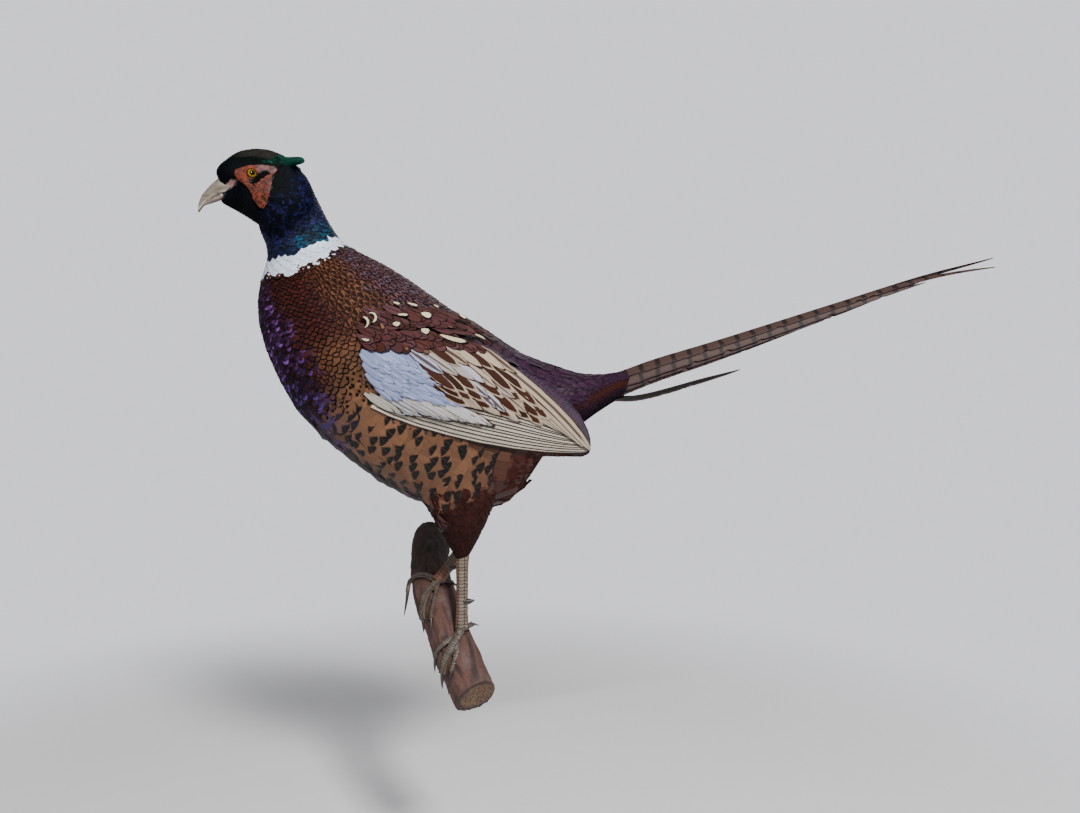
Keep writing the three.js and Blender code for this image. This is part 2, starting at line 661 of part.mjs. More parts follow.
const bills = {
  bill_upper: onHead(sections(UPPER_BILL_STATIONS, billSize)),
  bill_lower: onHead(sections(LOWER_BILL_STATIONS, billSize)),
};
const billGrown = onHead(sections(UPPER_BILL_STATIONS, { ...billSize, grow: GAP }));
place("head", without(headWhole, ...eyeRoom), materials.head);
place("neck", neck, materials.head);
place("bill_upper", without(bills.bill_upper, bodyRoom), materials.bill);
place("bill_lower", without(bills.bill_lower, bodyRoom, billGrown), materials.bill);
for (const [name, side] of SIDES) {
  place(`eye_${name}`, eyeball(side, 0), materials.eye);
  place(`face_${name}`, without(facePatch(side), bodyRoom, ...eyeRoom), materials.face);
  place(`ear_tuft_${name}`, without(tuft(side), bodyRoom), materials.head);
}

// Thighs and folded wings lie against the trunk.
const legRoom = [];
for (const [name] of SIDES) {
  const foot = FEET[name];
  legRoom.push(shank(foot, GAP));
  place(`thigh_${name}`, without(thigh(name), bodyRoom, shank(foot, GAP)), materials.thigh);
  const leg = without(shank(foot, 0), branchRoom, bodyRoom);
  place(`shank_${name}`, leg, materials.leg);
  place(`spur_${name}`, without(spur(foot), shank(foot, GAP)), materials.claw);

  const taken = [branchRoom, shank(foot, GAP)];
  for (const [toeName, toe] of Object.entries(foot.toes)) {
    place(`toe_${name}_${toeName}`, without(toeSolid(foot, toe, 0), ...taken), materials.leg);
    taken.push(toeSolid(foot, toe, GAP));
    place(`claw_${name}_${toeName}`, without(clawSolid(foot, toe), ...taken), materials.claw);
    taken.push(clawSolid(foot, toe, GAP));
  }
}

const quillFrom = new THREE.Vector3(QUILL_LINE.from[0], MID_Y, QUILL_LINE.from[1]);
const quillTo = new THREE.Vector3(QUILL_LINE.to[0], MID_Y, QUILL_LINE.to[1]);
const quillNormal = new THREE.Vector3(0, 1, 0).cross(quillFrom.clone().sub(quillTo));
const wingRoom = [];
for (const [name, side] of SIDES) {
  const folded = without(wing(side), bodyRoom, thigh(name));
  const [first, second] = parted(folded, quillFrom, quillNormal);
  place(`wing_${name}_coverts`, quillNormal.z > 0 ? second : first, materials.wing);
  place(`wing_${name}_quills`, quillNormal.z > 0 ? first : second, materials.quill);
  wingRoom.push(folded);
}
place("trunk", trunk, materials.body);
place("rump", rump, materials.rump);

const tailTaken = [bodyRoom];
for (const [name, side] of SIDES) {
  TAIL_PAIRS.forEach((pair, layer) => {
    const vane = tailFeather(pair, layer, name, side);
    place(`tail_${pair.name}_${name}`, without(vane, ...tailTaken), materials.tail);
  });
  place(`tail_outer_${name}`, without(outerTailFeather(side), ...tailTaken), materials.tail);
}

export default pheasant;
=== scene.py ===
"""A cock pheasant mounted on a branch stub: skin, plumage, head, legs, tail and branch."""

import math
from functools import partialmethod

import bpy
import numpy as np
from bpy.props import FloatProperty, FloatVectorProperty, IntProperty, PointerProperty
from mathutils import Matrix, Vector, noise
from mathutils.bvhtree import BVHTree


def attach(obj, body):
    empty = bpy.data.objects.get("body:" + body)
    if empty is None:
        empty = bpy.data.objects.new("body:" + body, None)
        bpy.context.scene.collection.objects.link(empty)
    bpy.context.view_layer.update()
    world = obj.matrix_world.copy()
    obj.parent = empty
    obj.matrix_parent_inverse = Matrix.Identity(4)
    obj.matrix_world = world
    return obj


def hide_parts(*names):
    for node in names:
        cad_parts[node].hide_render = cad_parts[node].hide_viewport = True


bl_info = {
    "name": "Mounted Pheasant",
    "version": (1, 0, 0),
    "blender": (4, 5, 0),
    "location": "View3D > Sidebar > Pheasant",
    "description": "Builds a mounted cock pheasant on its branch, feather by feather",
    "category": "Add Mesh",
}

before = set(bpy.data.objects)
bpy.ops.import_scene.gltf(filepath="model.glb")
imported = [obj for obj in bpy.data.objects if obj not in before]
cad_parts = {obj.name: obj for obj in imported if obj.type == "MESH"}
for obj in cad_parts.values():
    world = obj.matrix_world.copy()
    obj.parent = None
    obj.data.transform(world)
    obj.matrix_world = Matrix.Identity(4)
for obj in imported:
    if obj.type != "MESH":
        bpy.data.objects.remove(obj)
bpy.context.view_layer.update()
MM = 0.001
SIDES = (("left", -1), ("right", 1))

# ---- the forms that the plumage lies on, in millimetres ----

MIDDLE_Y = -119.0
MIDDLE_SLOPE = 0.02
HEAD_PIVOT = (-88.0, -138.0)
HEAD_YAW = math.radians(22)

# Sections: low x, low z, high x, high z, half width, y of the middle, yaw.
BODY = [
    (-126, 322, -93, 347, 12, -142, 0.38),
    (-133, 303, -88, 334.5, 19, -137, 0.33),
    (-128, 287, -78, 312.6, 21.5, -131, 0.22),
    (-128, 271, -67, 294.4, 25, -126, 0.1),
    (-134, 257, -54, 284, 32, -122.5, 0.04),
    (-138, 232, -24, 269, 45, -120.5, 0.02),
    (-134, 203, 6, 250, 55, -120, 0.02),
    (-120, 167, 33, 230.5, 61, -119.8, 0.02),
    (-97, 129, 60, 216, 64, -119.5, 0.02),
    (-62, 99, 82, 200.5, 63, -119, 0.02),
    (-25, 71, 101, 189, 59, -118, 0.02),
    (15, 52, 121, 181.5, 53, -117.5, 0.02),
    (60, 47, 137, 176, 45, -117, 0.02),
    (93, 61, 151, 172, 36, -116.5, 0.02),
    (111, 92, 162, 171, 27, -116, 0.02),
    (146, 122, 174, 171, 19, -115.8, 0.02),
    (174, 142, 187, 173, 12.5, -115.5, 0.02),
    (190, 151, 198, 173.5, 8, -115.2, 0.02),
]
# The head's sections lie in its own frame, with the bill towards -x.
HEAD = [
    (-76, 318.5, -74.5, 335, 6, 0, 0),
    (-73, 314.5, -74.5, 343, 9.4, 0, 0),
    (-66, 311, -69.5, 349.6, 13, 0, 0),
    (-56, 306, -59, 357.6, 16, 0, 0),
    (-46, 300, -46.5, 361.6, 17.8, 0, 0),
    (-36, 294, -34, 361.8, 18.6, 0, 0),
    (-24, 292, -22, 358, 18.4, 0, 0),
    (-11, 297, -10.5, 351, 16.5, 0, 0),
    (-3, 306, -1.5, 340, 12, 0, 0),
    (1.5, 315, 2.5, 331, 6, 0, 0),
]
EAR_TUFT = [
    (-30, 347.5, -29, 357, 3, 12.5, 0),
    (-21, 349, -20, 355.6, 4.2, 13.3, 0),
    (-12.5, 349.4, -12, 357.2, 4, 14.1, 0),
    (-6.6, 350.2, -6, 356.2, 2.2, 14.9, 0),
]
# The folded wing: low x, low z, high x, high z, half width, distance from the middle plane.
WING = [
    (-48, 174, -42, 193, 7, 51),
    (-38, 152, -24, 206, 16, 49.5),
    (-18, 130, 3, 213, 23, 47),
    (14, 117, 42, 206, 26, 45),
    (47, 109.5, 70, 193, 25, 42),
    (82, 102.5, 98, 177, 21, 37.5),
    (111, 98.5, 124, 161, 15, 34),
    (136, 97.5, 144, 143, 9, 32.5),
    (151, 97.5, 156, 124, 4.5, 32),
    (157, 99, 159.5, 110, 1.6, 31.5),
]
THIGHS = {
    "left": [
        (4, 78, 84, 84, 24, -140, 0),
        (16, 50, 76, 60, 20, -141, 0),
        (27, 31, 69, 43, 15, -139, 0),
        (35.5, 16, 60, 25, 10, -136, 0),
        (40, 6.5, 52, 10.5, 6, -134, 0),
    ],
    "right": [
        (2, 80, 84, 88, 24, -97, 0),
        (14, 54, 76, 66, 19, -96, 0),
        (26, 36, 68, 46, 14, -97, 0),
        (35, 22, 57, 29, 9, -99, 0),
        (37.5, 12, 49, 15, 5.5, -100, 0),
    ],
}
FACE_OUTLINE = [
    (-63, 335), (-59.5, 341.5), (-50, 344.6), (-41, 345.7), (-30, 345.4), (-29.4, 341),
    (-33.4, 337), (-33.4, 331), (-36.2, 319), (-39, 310), (-43, 309.6), (-48.4, 316),
    (-52.6, 325.5), (-58.7, 329.8),
]
BILL_OUTLINE = [
    (-82, 334), (-76, 331), (-72, 328.3), (-66.8, 324.8), (-70.3, 321.9), (-71, 319), (-72.5, 316),
    (-82, 312),
]
LORE_OUTLINE = [(-71.9, 328.2), (-67.2, 332.9), (-61.7, 331.8), (-64.1, 326.5), (-69.6, 325.1)]
EYE = {"x": -49.9, "z": 337.2, "side": 12.9, "radius": 5.6, "pupil": (0.75, 0.7)}


def middle_y(x):
    return MIDDLE_Y + MIDDLE_SLOPE * x


def ease(x, start, end):
    """A smooth step from 0 at start to 1 at end."""
    t = np.clip((np.asarray(x, float) - start) / (end - start), 0, 1)
    return t * t * (3 - 2 * t)


def through(rows, t):
    """Points of a smooth line through rows, at values of t from 0 to 1."""
    rows = np.asarray(rows, float)
    last = len(rows) - 1
    place = np.clip(t, 0, 1) * last
    i = np.minimum(place.astype(int), last - 1)
    w = (place - i)[:, None]
    a, b = rows[i], rows[i + 1]
    before = np.where((i == 0)[:, None], 2 * a - b, rows[np.maximum(i - 1, 0)])
    after = np.where((i + 2 > last)[:, None], 2 * b - a, rows[np.minimum(i + 2, last)])
    leave, arrive = (b - before) / 2, (after - a) / 2
    return (
        (2 * a - 2 * b + leave + arrive) * w**3
        + (3 * b - 3 * a - 2 * leave - arrive) * w**2
        + leave * w
        + a
    )


def loft_points(rows, t, turn, exponent):
    """Points of a loft; turn runs round each section from its high end."""
    s = through(rows, t)
    up = np.stack([s[:, 2] - s[:, 0], 0 * t, s[:, 3] - s[:, 1]], 1) / 2
    middle = np.stack([(s[:, 0] + s[:, 2]) / 2, s[:, 5], (s[:, 1] + s[:, 3]) / 2], 1)
    up[:, 1] = up[:, 0] * np.tan(s[:, 6])
    side = np.stack([-np.sin(s[:, 6]), np.cos(s[:, 6]), 0 * t], 1) * s[:, 4:5]
    bent = lambda a: np.sign(a) * np.abs(a) ** (2 / exponent)
    return middle + up * bent(np.cos(turn))[:, None] + side * bent(np.sin(turn))[:, None]


def on_head(p):
    """Points of the head's own frame, in the row's frame."""
    c, s = math.cos(HEAD_YAW), math.sin(HEAD_YAW)
    x, y = p[:, 0] * c - p[:, 1] * s, p[:, 0] * s + p[:, 1] * c
    return np.stack([HEAD_PIVOT[0] + x, HEAD_PIVOT[1] + y, p[:, 2]], 1)


def head_direction(x, side, z):
    """A direction of the head's own frame, in the row's frame."""
    return (on_head(np.array([[x, side, z]])) - on_head(np.zeros((1, 3))))[0]


def in_head(p):
    """Points of the row's frame, in the head's own."""
    c, s = math.cos(HEAD_YAW), math.sin(HEAD_YAW)
    x, y = p[:, 0] - HEAD_PIVOT[0], p[:, 1] - HEAD_PIVOT[1]
    return np.stack([x * c + y * s, y * c - x * s, p[:, 2]], 1)


def unit(v):
    return v / np.maximum(np.linalg.norm(v, axis=-1, keepdims=True), 1e-9)


class Chart:
    """A loft as a grid: t runs along it, f once round it from its low end over the left side."""

    FINE = 361

    def __init__(self, rows, along=160, round_=144, exponent=2.0, head=False):
        turns = np.pi + np.linspace(0, 2 * np.pi, self.FINE)
        t, turn = np.meshgrid(np.linspace(0, 1, along), turns, indexing="ij")
        points = loft_points(rows, t.ravel(), turn.ravel(), exponent)
        points = (on_head(points) if head else points).reshape(along, self.FINE, 3)
        step = np.linalg.norm(np.diff(points, axis=1), axis=2)
        reach = np.concatenate([np.zeros((along, 1)), np.cumsum(step, 1)], 1)
        self.girth = reach[:, -1]
        even = np.linspace(0, 1, round_ + 1)
        self.points = np.empty((along, round_ + 1, 3))
        for k, far in enumerate(reach):
            for axis in range(3):
                self.points[k, :, axis] = np.interp(even * far[-1], far, points[k, :, axis])
        self.lie = unit(np.gradient(self.points, axis=0))
        self.along, self.round = along, round_

    def at(self, table, t, f):
        """A table of the chart, read between its grid points."""
        x = np.clip(t, 0, 1) * (self.along - 1)
        y = np.mod(f, 1) * self.round
        i = np.minimum(x.astype(int), self.along - 2)
        j = np.minimum(y.astype(int), self.round - 1)
        u, v = (x - i)[:, None], (y - j)[:, None]
        return (
            table[i, j] * (1 - u) * (1 - v)
            + table[i + 1, j] * u * (1 - v)
            + table[i, j + 1] * (1 - u) * v
            + table[i + 1, j + 1] * u * v
        )

    def place_of(self, points):
        """The t and f of the grid face nearest to each point, in metres."""
        wide = self.round + 1
        starts = [i * wide + j for i in range(self.along - 1) for j in range(self.round)]
        faces = [(k, k + 1, k + wide + 1, k + wide) for k in starts]
        tree = BVHTree.FromPolygons((self.points.reshape(-1, 3) * MM).tolist(), faces)
        index = np.array([tree.find_nearest(p)[2] for p in points.tolist()])
        t = (index // self.round + 0.5) / (self.along - 1)
        return t, (index % self.round + 0.5) / self.round

    def rows_of(self, start, end, lines, pitch, rng):
        """Staggered places on lines along the loft: t, f and the width between lines."""
        t = np.linspace(start, end, 300)
        found = []
        for line in range(lines):
            f = np.full(300, (line + 0.5) / lines)
            p = self.at(self.points, t, f)
            gap = np.interp(t, np.linspace(0, 1, self.along), self.girth) / lines
            step = np.linalg.norm(np.diff(p, axis=0), axis=1) / (pitch * (gap[1:] + gap[:-1]) / 2)
            row = np.concatenate([[0], np.cumsum(step)])
            wanted = np.arange(0.5 * (line % 2), row[-1], 1.0)
            wanted = wanted + rng.uniform(-0.1, 0.1, len(wanted))
            at = np.interp(wanted, row, t)
            found.append(np.stack([at, np.full(len(at), f[0]), np.interp(at, t, gap)], 1))
        found = np.concatenate(found)
        return found[:, 0], found[:, 1], found[:, 2]


CHARTS = {}


def placed_wing(sign):
    """The wing's sections at their true distance from the middle plane."""
    return [
        (*row[:5], middle_y((row[0] + row[2]) / 2) + sign * row[5], MIDDLE_SLOPE) for row in WING
    ]


def chart(name):
    """The charts of the bird's forms, each made once."""
    kind, _, side = name.partition("_")
    sign = dict(SIDES).get(side)
    if name not in CHARTS and kind == "body":
        CHARTS[name] = Chart(BODY, along=260, exponent=2.25)
    elif name not in CHARTS and kind == "head":
        CHARTS[name] = Chart(HEAD, head=True)
    elif name not in CHARTS and kind == "wing":
        CHARTS[name] = Chart(placed_wing(sign))
    elif name not in CHARTS and kind == "thigh":
        CHARTS[name] = Chart(THIGHS[side], along=60)
    elif name not in CHARTS:
        rows = [(*row[:5], sign * row[5], row[6]) for row in EAR_TUFT]
        CHARTS[name] = Chart(rows, along=40, round_=48, head=True)
    return CHARTS[name]


def inside(outline, x, z):
    """Whether points lie within an outline of [x, z] corners."""
    found = np.zeros(len(x), bool)
    for (ax, az), (bx, bz) in zip(outline, outline[1:] + outline[:1]):
        crosses = (az > z) != (bz > z)
        at = ax + (z - az) / (bz - az if bz != az else 1e-9) * (bx - ax)
        found ^= crosses & (x < at)
    return found


# ---- modelling helpers ----


def deselect():
    if bpy.context.mode != "OBJECT":
        bpy.ops.object.mode_set(mode="OBJECT")
    bpy.ops.object.select_all(action="DESELECT")


def choose(obj):
    deselect()
    obj.select_set(True)
    bpy.context.view_layer.objects.active = obj


def apply_modifier(obj, kind, **values):
    choose(obj)
    modifier = obj.modifiers.new(kind.title(), kind)
    for key, value in values.items():
        setattr(modifier, key, value)
    bpy.ops.object.modifier_apply(modifier=modifier.name)


def edit_whole(obj, operator, **values):
    """Runs one operator in edit mode on all of a piece."""
    choose(obj)
    bpy.ops.object.mode_set(mode="EDIT")
    bpy.ops.mesh.select_all(action="SELECT")
    operator(**values)
    bpy.ops.object.mode_set(mode="OBJECT")


def new_object(name, mesh):
    obj = bpy.data.objects.new(name, mesh)
    bpy.context.collection.objects.link(obj)
    return obj


def copy_of(nodes, name):
    """One merged copy of CAD nodes; the nodes themselves stay as they are."""
    copies = [new_object(name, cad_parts[node].data.copy()) for node in nodes]
    choose(copies[0])
    for copy in copies:
        copy.data.materials.clear()
        copy.select_set(True)
    if len(copies) > 1:
        bpy.ops.object.join()
    obj = bpy.context.view_layer.objects.active
    obj.name = obj.data.name = name
    edit_whole(obj, bpy.ops.mesh.remove_doubles, threshold=0.05 * MM)
    for layer in list(obj.data.uv_layers):
        obj.data.uv_layers.remove(layer)
    return obj


def settle(obj, material, slot, *nodes):
    """Gives a finished piece its material and body, and hides the CAD nodes it replaces; slot is
    not used.
    """
    obj.data.materials.append(material)
    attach(obj, "root")
    if nodes:
        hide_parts(*nodes)


def softened(obj, voxel, rounds, factor=0.5):
    """Fuses a piece into one even skin and eases its facets away."""
    apply_modifier(obj, "REMESH", mode="VOXEL", voxel_size=voxel * MM)
    apply_modifier(obj, "SMOOTH", factor=factor, iterations=rounds)
    choose(obj)
    bpy.ops.object.shade_smooth()
    return obj


def coords(mesh):
    co = np.empty(len(mesh.vertices) * 3)
    mesh.vertices.foreach_get("co", co)
    return co.reshape(-1, 3)


def vertex_normals(mesh):
    normals = np.empty(len(mesh.vertices) * 3, np.float32)
    mesh.vertex_normals.foreach_get("vector", normals)
    return normals.reshape(-1, 3).astype(float)


def set_coords(mesh, co):
    mesh.vertices.foreach_set("co", np.ascontiguousarray(co, np.float32).ravel())
    mesh.update()


def noise_at(points, scale):
    return np.array([noise.noise(Vector(p) * scale) for p in points.tolist()])


def paint(mesh, name, values):
    """A colour or four numbers for each vertex, which the piece's material reads by name."""
    values = np.asarray(values, np.float32)
    if values.shape[1] == 3:
        values = np.concatenate([values, np.ones((len(values), 1), np.float32)], 1)
    layer = mesh.attributes.get(name) or mesh.attributes.new(name, "FLOAT_COLOR", "POINT")
    layer.data.foreach_set("color", np.ascontiguousarray(values).ravel())


def pinched(local):
    """Points of the head's frame: narrow by the bill's root, steep in front, high on the crown."""
    x, side, z = local.T
    share = ease(x, -55, -67) * ease(z, 336, 328)
    front = 2.4 * ease(x, -54, -66) * ease(z, 333, 341)
    crown = 2.4 * ease(z, 344, 357) * ease(np.abs(side), 12, 7)
    crown = crown * ease(x, -68, -58) * ease(x, 0, -14)
    return np.stack([x - front, side * (1 - 0.36 * share), z + crown], 1)


class Surface:
    """A mesh that vanes are laid on: the nearest point and the smooth normal there."""

    def __init__(self, obj):
        self.obj, mesh = obj, obj.data
        polygons = [tuple(p.vertices) for p in mesh.polygons]
        self.tree = BVHTree.FromPolygons([v.co for v in mesh.vertices], polygons)
        normals = vertex_normals(mesh)
        self.normals = unit(np.array([normals[list(p)].mean(0) for p in polygons]))

    def nearest(self, points):
        found = [self.tree.find_nearest(p) for p in points.tolist()]
        index = np.array([f[2] for f in found])
        return np.array([f[0] for f in found]), self.normals[index], index

    def within(self, points, reach):
        """Which points, in metres, lie no further than reach from it."""
        return np.linalg.norm(self.nearest(points)[0] - points, axis=1) < reach * MM

    def from_side(self, x, z, side):
        """Where a line across the bird first meets the surface, from its left or right."""
        hits = []
        for a, b in zip(x, z):
            hit = self.tree.ray_cast((a, side * 0.4 + MIDDLE_Y * MM, b), (0, -side, 0))[0]
            hits.append(hit if hit is not None else (a, math.nan, b))
        return np.array(hits)


FORMS = {}
# How far inside the coat's form a feather may start, and how far along a feather its shown part
# lies.
ON_COAT = 2.6
SHOWN = 0.72


def form(name):
    if name not in FORMS:
        raise RuntimeError(f"{name} has to be made before what lies on it")
    return FORMS[name]


# ---- materials ----


def shade(code):
    """A colour written as six hex digits, as the linear values that shaders use."""
    parts = [int(code[i : i + 2], 16) / 255 for i in (0, 2, 4)]
    return tuple(c / 12.92 if c <= 0.04045 else ((c + 0.055) / 1.055) ** 2.4 for c in parts)


class Weave:
    """Adds and links the nodes of one material or group."""

    def __init__(self, tree):
        self.tree = tree
        self.shader = None

    def node(self, kind, **values):
        node = self.tree.nodes.new(kind)
        for key, value in values.items():
            setattr(node, key, value)
        return node

    def put(self, socket, value):
        if isinstance(value, bpy.types.NodeSocket):
            self.tree.links.new(value, socket)
        elif value is not None:
            if socket.type == "RGBA" and len(value) == 3:
                value = (*value, 1)
            socket.default_value = value

    def math(self, operation, *values):
        node = self.node("ShaderNodeMath", operation=operation)
        for socket, value in zip(node.inputs, values):
            self.put(socket, value)
        return node.outputs[0]

    plus = partialmethod(math, "ADD")
    less = partialmethod(math, "SUBTRACT")
    times = partialmethod(math, "MULTIPLY")
    linear = partialmethod(math, "MULTIPLY_ADD")
    power = partialmethod(math, "POWER")
    above = partialmethod(math, "GREATER_THAN")

    def step(self, value, start, end):
        """A smooth step of a value, from 0 at start to 1 at end."""
        node = self.node("ShaderNodeMapRange", interpolation_type="SMOOTHSTEP")
        for label, given in (("Value", value), ("From Min", start), ("From Max", end)):
            self.put(node.inputs[label], given)
        return node.outputs[0]

    def mix(self, share, a, b, blend="MIX"):
        node = self.node("ShaderNodeMix", data_type="RGBA", blend_type=blend, clamp_factor=True)
        for index, value in ((0, share), (6, a), (7, b)):
            self.put(node.inputs[index], value)
        return node.outputs[2]

    def toned(self, colour, grain, amount, least):
        """A colour made lighter and darker by a grain."""
        tone = self.linear(grain, amount, least)
        return self.mix(1.0, colour, self.join(tone, tone, tone), "MULTIPLY")

    def place(self):
        return self.node("ShaderNodeTexCoord").outputs["Object"]

    def texture(self, kind, vector, sockets, **settings):
        node = self.node(kind, **settings)
        self.put(node.inputs["Vector"], vector)
        for label, value in sockets.items():
            node.inputs[label].default_value = value
        return node.outputs[0]

    def noise(self, vector, scale, detail=2.0, rough=0.5):
        sockets = dict(Scale=scale, Detail=detail, Roughness=rough)
        return self.texture("ShaderNodeTexNoise", vector, sockets)

    def attribute(self, name, output="Color"):
        return self.node("ShaderNodeAttribute", attribute_name=name).outputs[output]

    def split(self, vector):
        node = self.node("ShaderNodeSeparateXYZ")
        self.put(node.inputs[0], vector)
        return node.outputs

    def join(self, x, y, z=0.0):
        node = self.node("ShaderNodeCombineXYZ")
        for socket, value in zip(node.inputs, (x, y, z)):
            self.put(socket, value)
        return node.outputs[0]

    def surface(self, colour, height, strength, distance):
        """Gives the material its colour and a relief of a height."""
        bump = self.node("ShaderNodeBump")
        bump.inputs["Strength"].default_value = strength
        bump.inputs["Distance"].default_value = distance
        self.put(bump.inputs["Height"], height)
        self.put(self.shader["Base Color"], colour)
        self.put(self.shader["Normal"], bump.outputs[0])

    def group(self, tree, **values):
        node = self.node("ShaderNodeGroup", node_tree=tree)
        for name, value in values.items():
            self.put(node.inputs[name.replace("_", " ")], value)
        return node.outputs


def group_tree(name, inputs, outputs):
    """An empty node group with named sockets: its weave, its inputs and its outputs."""
    tree = bpy.data.node_groups.new(name, "ShaderNodeTree")
    kinds = {"color": "NodeSocketColor", "value": "NodeSocketFloat", "vector": "NodeSocketVector"}
    for in_out, sockets in (("INPUT", inputs), ("OUTPUT", outputs)):
        for label, kind in sockets.items():
            tree.interface.new_socket(label, in_out=in_out, socket_type=kinds[kind])
    weave = Weave(tree)
    return weave, weave.node("NodeGroupInput").outputs, weave.node("NodeGroupOutput").inputs


def vane_markings():
    """Barbs, rim, tip spot, eye spot and shaft streak of one feather, over its own map."""
    name = "Vane Markings"
    if name in bpy.data.node_groups:
        return bpy.data.node_groups[name]
    w, given, out = group_tree(
        name,
        dict(
            Base="color", Edge="color", Mark="color", Form="color", Streak="value", Vane="vector",
            Barbs="value", Ragged="value", Tip="value",
        ),
        dict(Color="color", Height="value"),
    )
    u, v, _ = w.split(given["Vane"])
    across = w.math("ABSOLUTE", w.linear(u, 2.0, -1.0))
    ragged = w.noise(w.join(w.times(u, 9.0), w.times(v, 2.5), 0.0), 2.0, 2.0)
    wobble = w.times(w.less(ragged, 0.5), given["Ragged"])
    tip = w.times(w.math("MAXIMUM", w.linear(v, 2.2, -1.2), 0.0), given["Tip"])
    rim = w.power(w.plus(w.power(across, 3.0), w.power(tip, 3.0)), 0.333)
    rim = w.plus(rim, wobble)
    edge_width, spot, eye = w.split(given["Form"])
    edge_mask = w.step(rim, w.less(1.0, edge_width), w.linear(edge_width, -0.55, 1.0))
    edge_mask = w.times(edge_mask, w.above(edge_width, 0.005))
    from_tip = w.less(1.0, w.plus(v, w.times(wobble, 0.5)))
    cone = w.times(spot, w.linear(across, -1.05, 1.0))
    spot_mask = w.step(w.less(cone, from_tip), -0.02, 0.05)
    spot_mask = w.times(spot_mask, w.above(spot, 0.01))
    side = w.power(w.math("DIVIDE", across, 0.5), 2.0)
    ahead = w.power(w.math("ABSOLUTE", w.math("DIVIDE", w.less(v, 0.76), 0.13)), 2.0)
    ring = w.plus(w.plus(side, ahead), w.times(wobble, 2.0))
    eye_mask = w.times(w.step(ring, 1.05, 0.8), eye)
    ring_mask = w.times(w.step(ring, 1.9, 1.5), eye)
    streak = w.step(across, w.plus(given["Streak"], 0.08), w.times(given["Streak"], 0.8))
    streak = w.times(streak, w.step(v, 0.97, 0.88))
    streak = w.times(streak, w.above(given["Streak"], 0.01))
    slant = w.linear(across, -0.22, v)
    barb = w.math("SINE", w.times(w.plus(slant, w.times(wobble, 0.12)), given["Barbs"]))
    fine = w.noise(w.join(w.times(across, 3.0), w.times(slant, 60.0), 0.0), 1.0, 2.0)
    colour = w.mix(w.times(streak, 0.92), given["Base"], given["Mark"])
    colour = w.mix(edge_mask, colour, given["Edge"])
    colour = w.mix(spot_mask, colour, given["Edge"])
    colour = w.mix(ring_mask, colour, (0.008, 0.006, 0.006, 1))
    colour = w.mix(eye_mask, colour, given["Mark"])
    shaft = w.times(w.step(across, 0.07, 0.02), 0.35)
    colour = w.mix(shaft, colour, w.mix(0.5, given["Base"], given["Mark"]))
    w.put(out["Color"], w.toned(colour, fine, 0.5, 0.75))
    w.put(out["Height"], w.linear(fine, 0.6, w.times(barb, 0.4)))
    return bpy.data.node_groups[name]


def new_material(name, **values):
    """A new material and its weave; the values are set on its shader's own sockets."""
    material = bpy.data.materials.new(name)
    material.use_nodes = True
    material.node_tree.nodes.clear()
    weave = Weave(material.node_tree)
    shader = weave.node("ShaderNodeBsdfPrincipled")
    weave.tree.links.new(shader.outputs[0], weave.node("ShaderNodeOutputMaterial").inputs[0])
    weave.shader = shader.inputs
    for label, value in values.items():
        shader.inputs[label.replace("_", " ")].default_value = value
    return material, weave


# Feather finishes: roughness, metallic gloss, sheen, shine, barbs along a vane, raggedness of the
# rim, and how far the rim runs round the tip.
FEATHER_FINISHES = {
    "neck_feathers": (0.42, 0.25, 0, 0.15, 170, 0.3, 1),
    "breast_feathers": (0.5, 0.12, 0, 0.1, 170, 0.3, 1),
    "flank_feathers": (0.52, 0, 0.05, 0.25, 170, 0.07, 1),
    "soft_feathers": (0.7, 0, 0.02, 0.08, 60, 0.3, 1),
    "head_feathers": (0.6, 0.04, 0, 0.06, 70, 0.3, 1),
    "short_wing_feathers": (0.6, 0, 0, 0.25, 170, 0.3, 1),
    "quill_feathers": (0.5, 0, 0.05, 0.25, 420, 0.12, 0.3),
    "covert_feathers": (0.6, 0, 0.02, 0.12, 260, 0.4, 1),
    "leg_plates": (0.45, 0, 0, 0.4, 0, 0.3, 1),
}


def feather_material(name):
    if name in bpy.data.materials:
        return bpy.data.materials[name]
    roughness, gloss, sheen, shine, barbs, ragged, tip = FEATHER_FINISHES[name]
    material, w = new_material(
        name, Roughness=roughness, Metallic=gloss, Sheen_Weight=sheen, Sheen_Roughness=0.4,
        Specular_IOR_Level=shine,
    )
    painted = {key: w.attribute(key) for key in ("Base", "Edge", "Mark", "Form")}
    vane = w.node("ShaderNodeUVMap", uv_map="Vane").outputs[0]
    made = w.group(
        vane_markings(), **painted, Streak=w.attribute("Form", "Alpha"), Vane=vane, Barbs=barbs,
        Ragged=ragged, Tip=tip,
    )
    w.surface(made["Color"], made["Height"], 0.35, 0.0003)
    return material


# ---- vanes ----

# How wide a vane is along its length, as shares of its length and of its half width.
ROUNDED = [(0, 0.3), (0.3, 0.8), (0.55, 1), (0.75, 0.96), (0.88, 0.78), (0.96, 0.45), (1, 0.14)]
SMALL = [(0, 0.5), (0.45, 1), (0.8, 0.85), (1, 0.25)]
POINTED = [(0, 0.5), (0.3, 1), (0.6, 0.8), (0.85, 0.42), (1, 0.04)]
FLANK = [(0, 0.3), (0.3, 0.8), (0.6, 1), (0.82, 1), (0.93, 0.86), (0.98, 0.6), (1, 0.3)]
LANCE = [(0, 0.4), (0.25, 0.9), (0.5, 1), (0.7, 0.88), (0.86, 0.58), (0.95, 0.3), (1, 0.06)]
QUILL = [
    (0, 0.5), (0.08, 0.85), (0.2, 1), (0.35, 1), (0.5, 1), (0.65, 1), (0.78, 0.97), (0.88, 0.86),
    (0.95, 0.62), (0.985, 0.36), (1, 0.12),
]
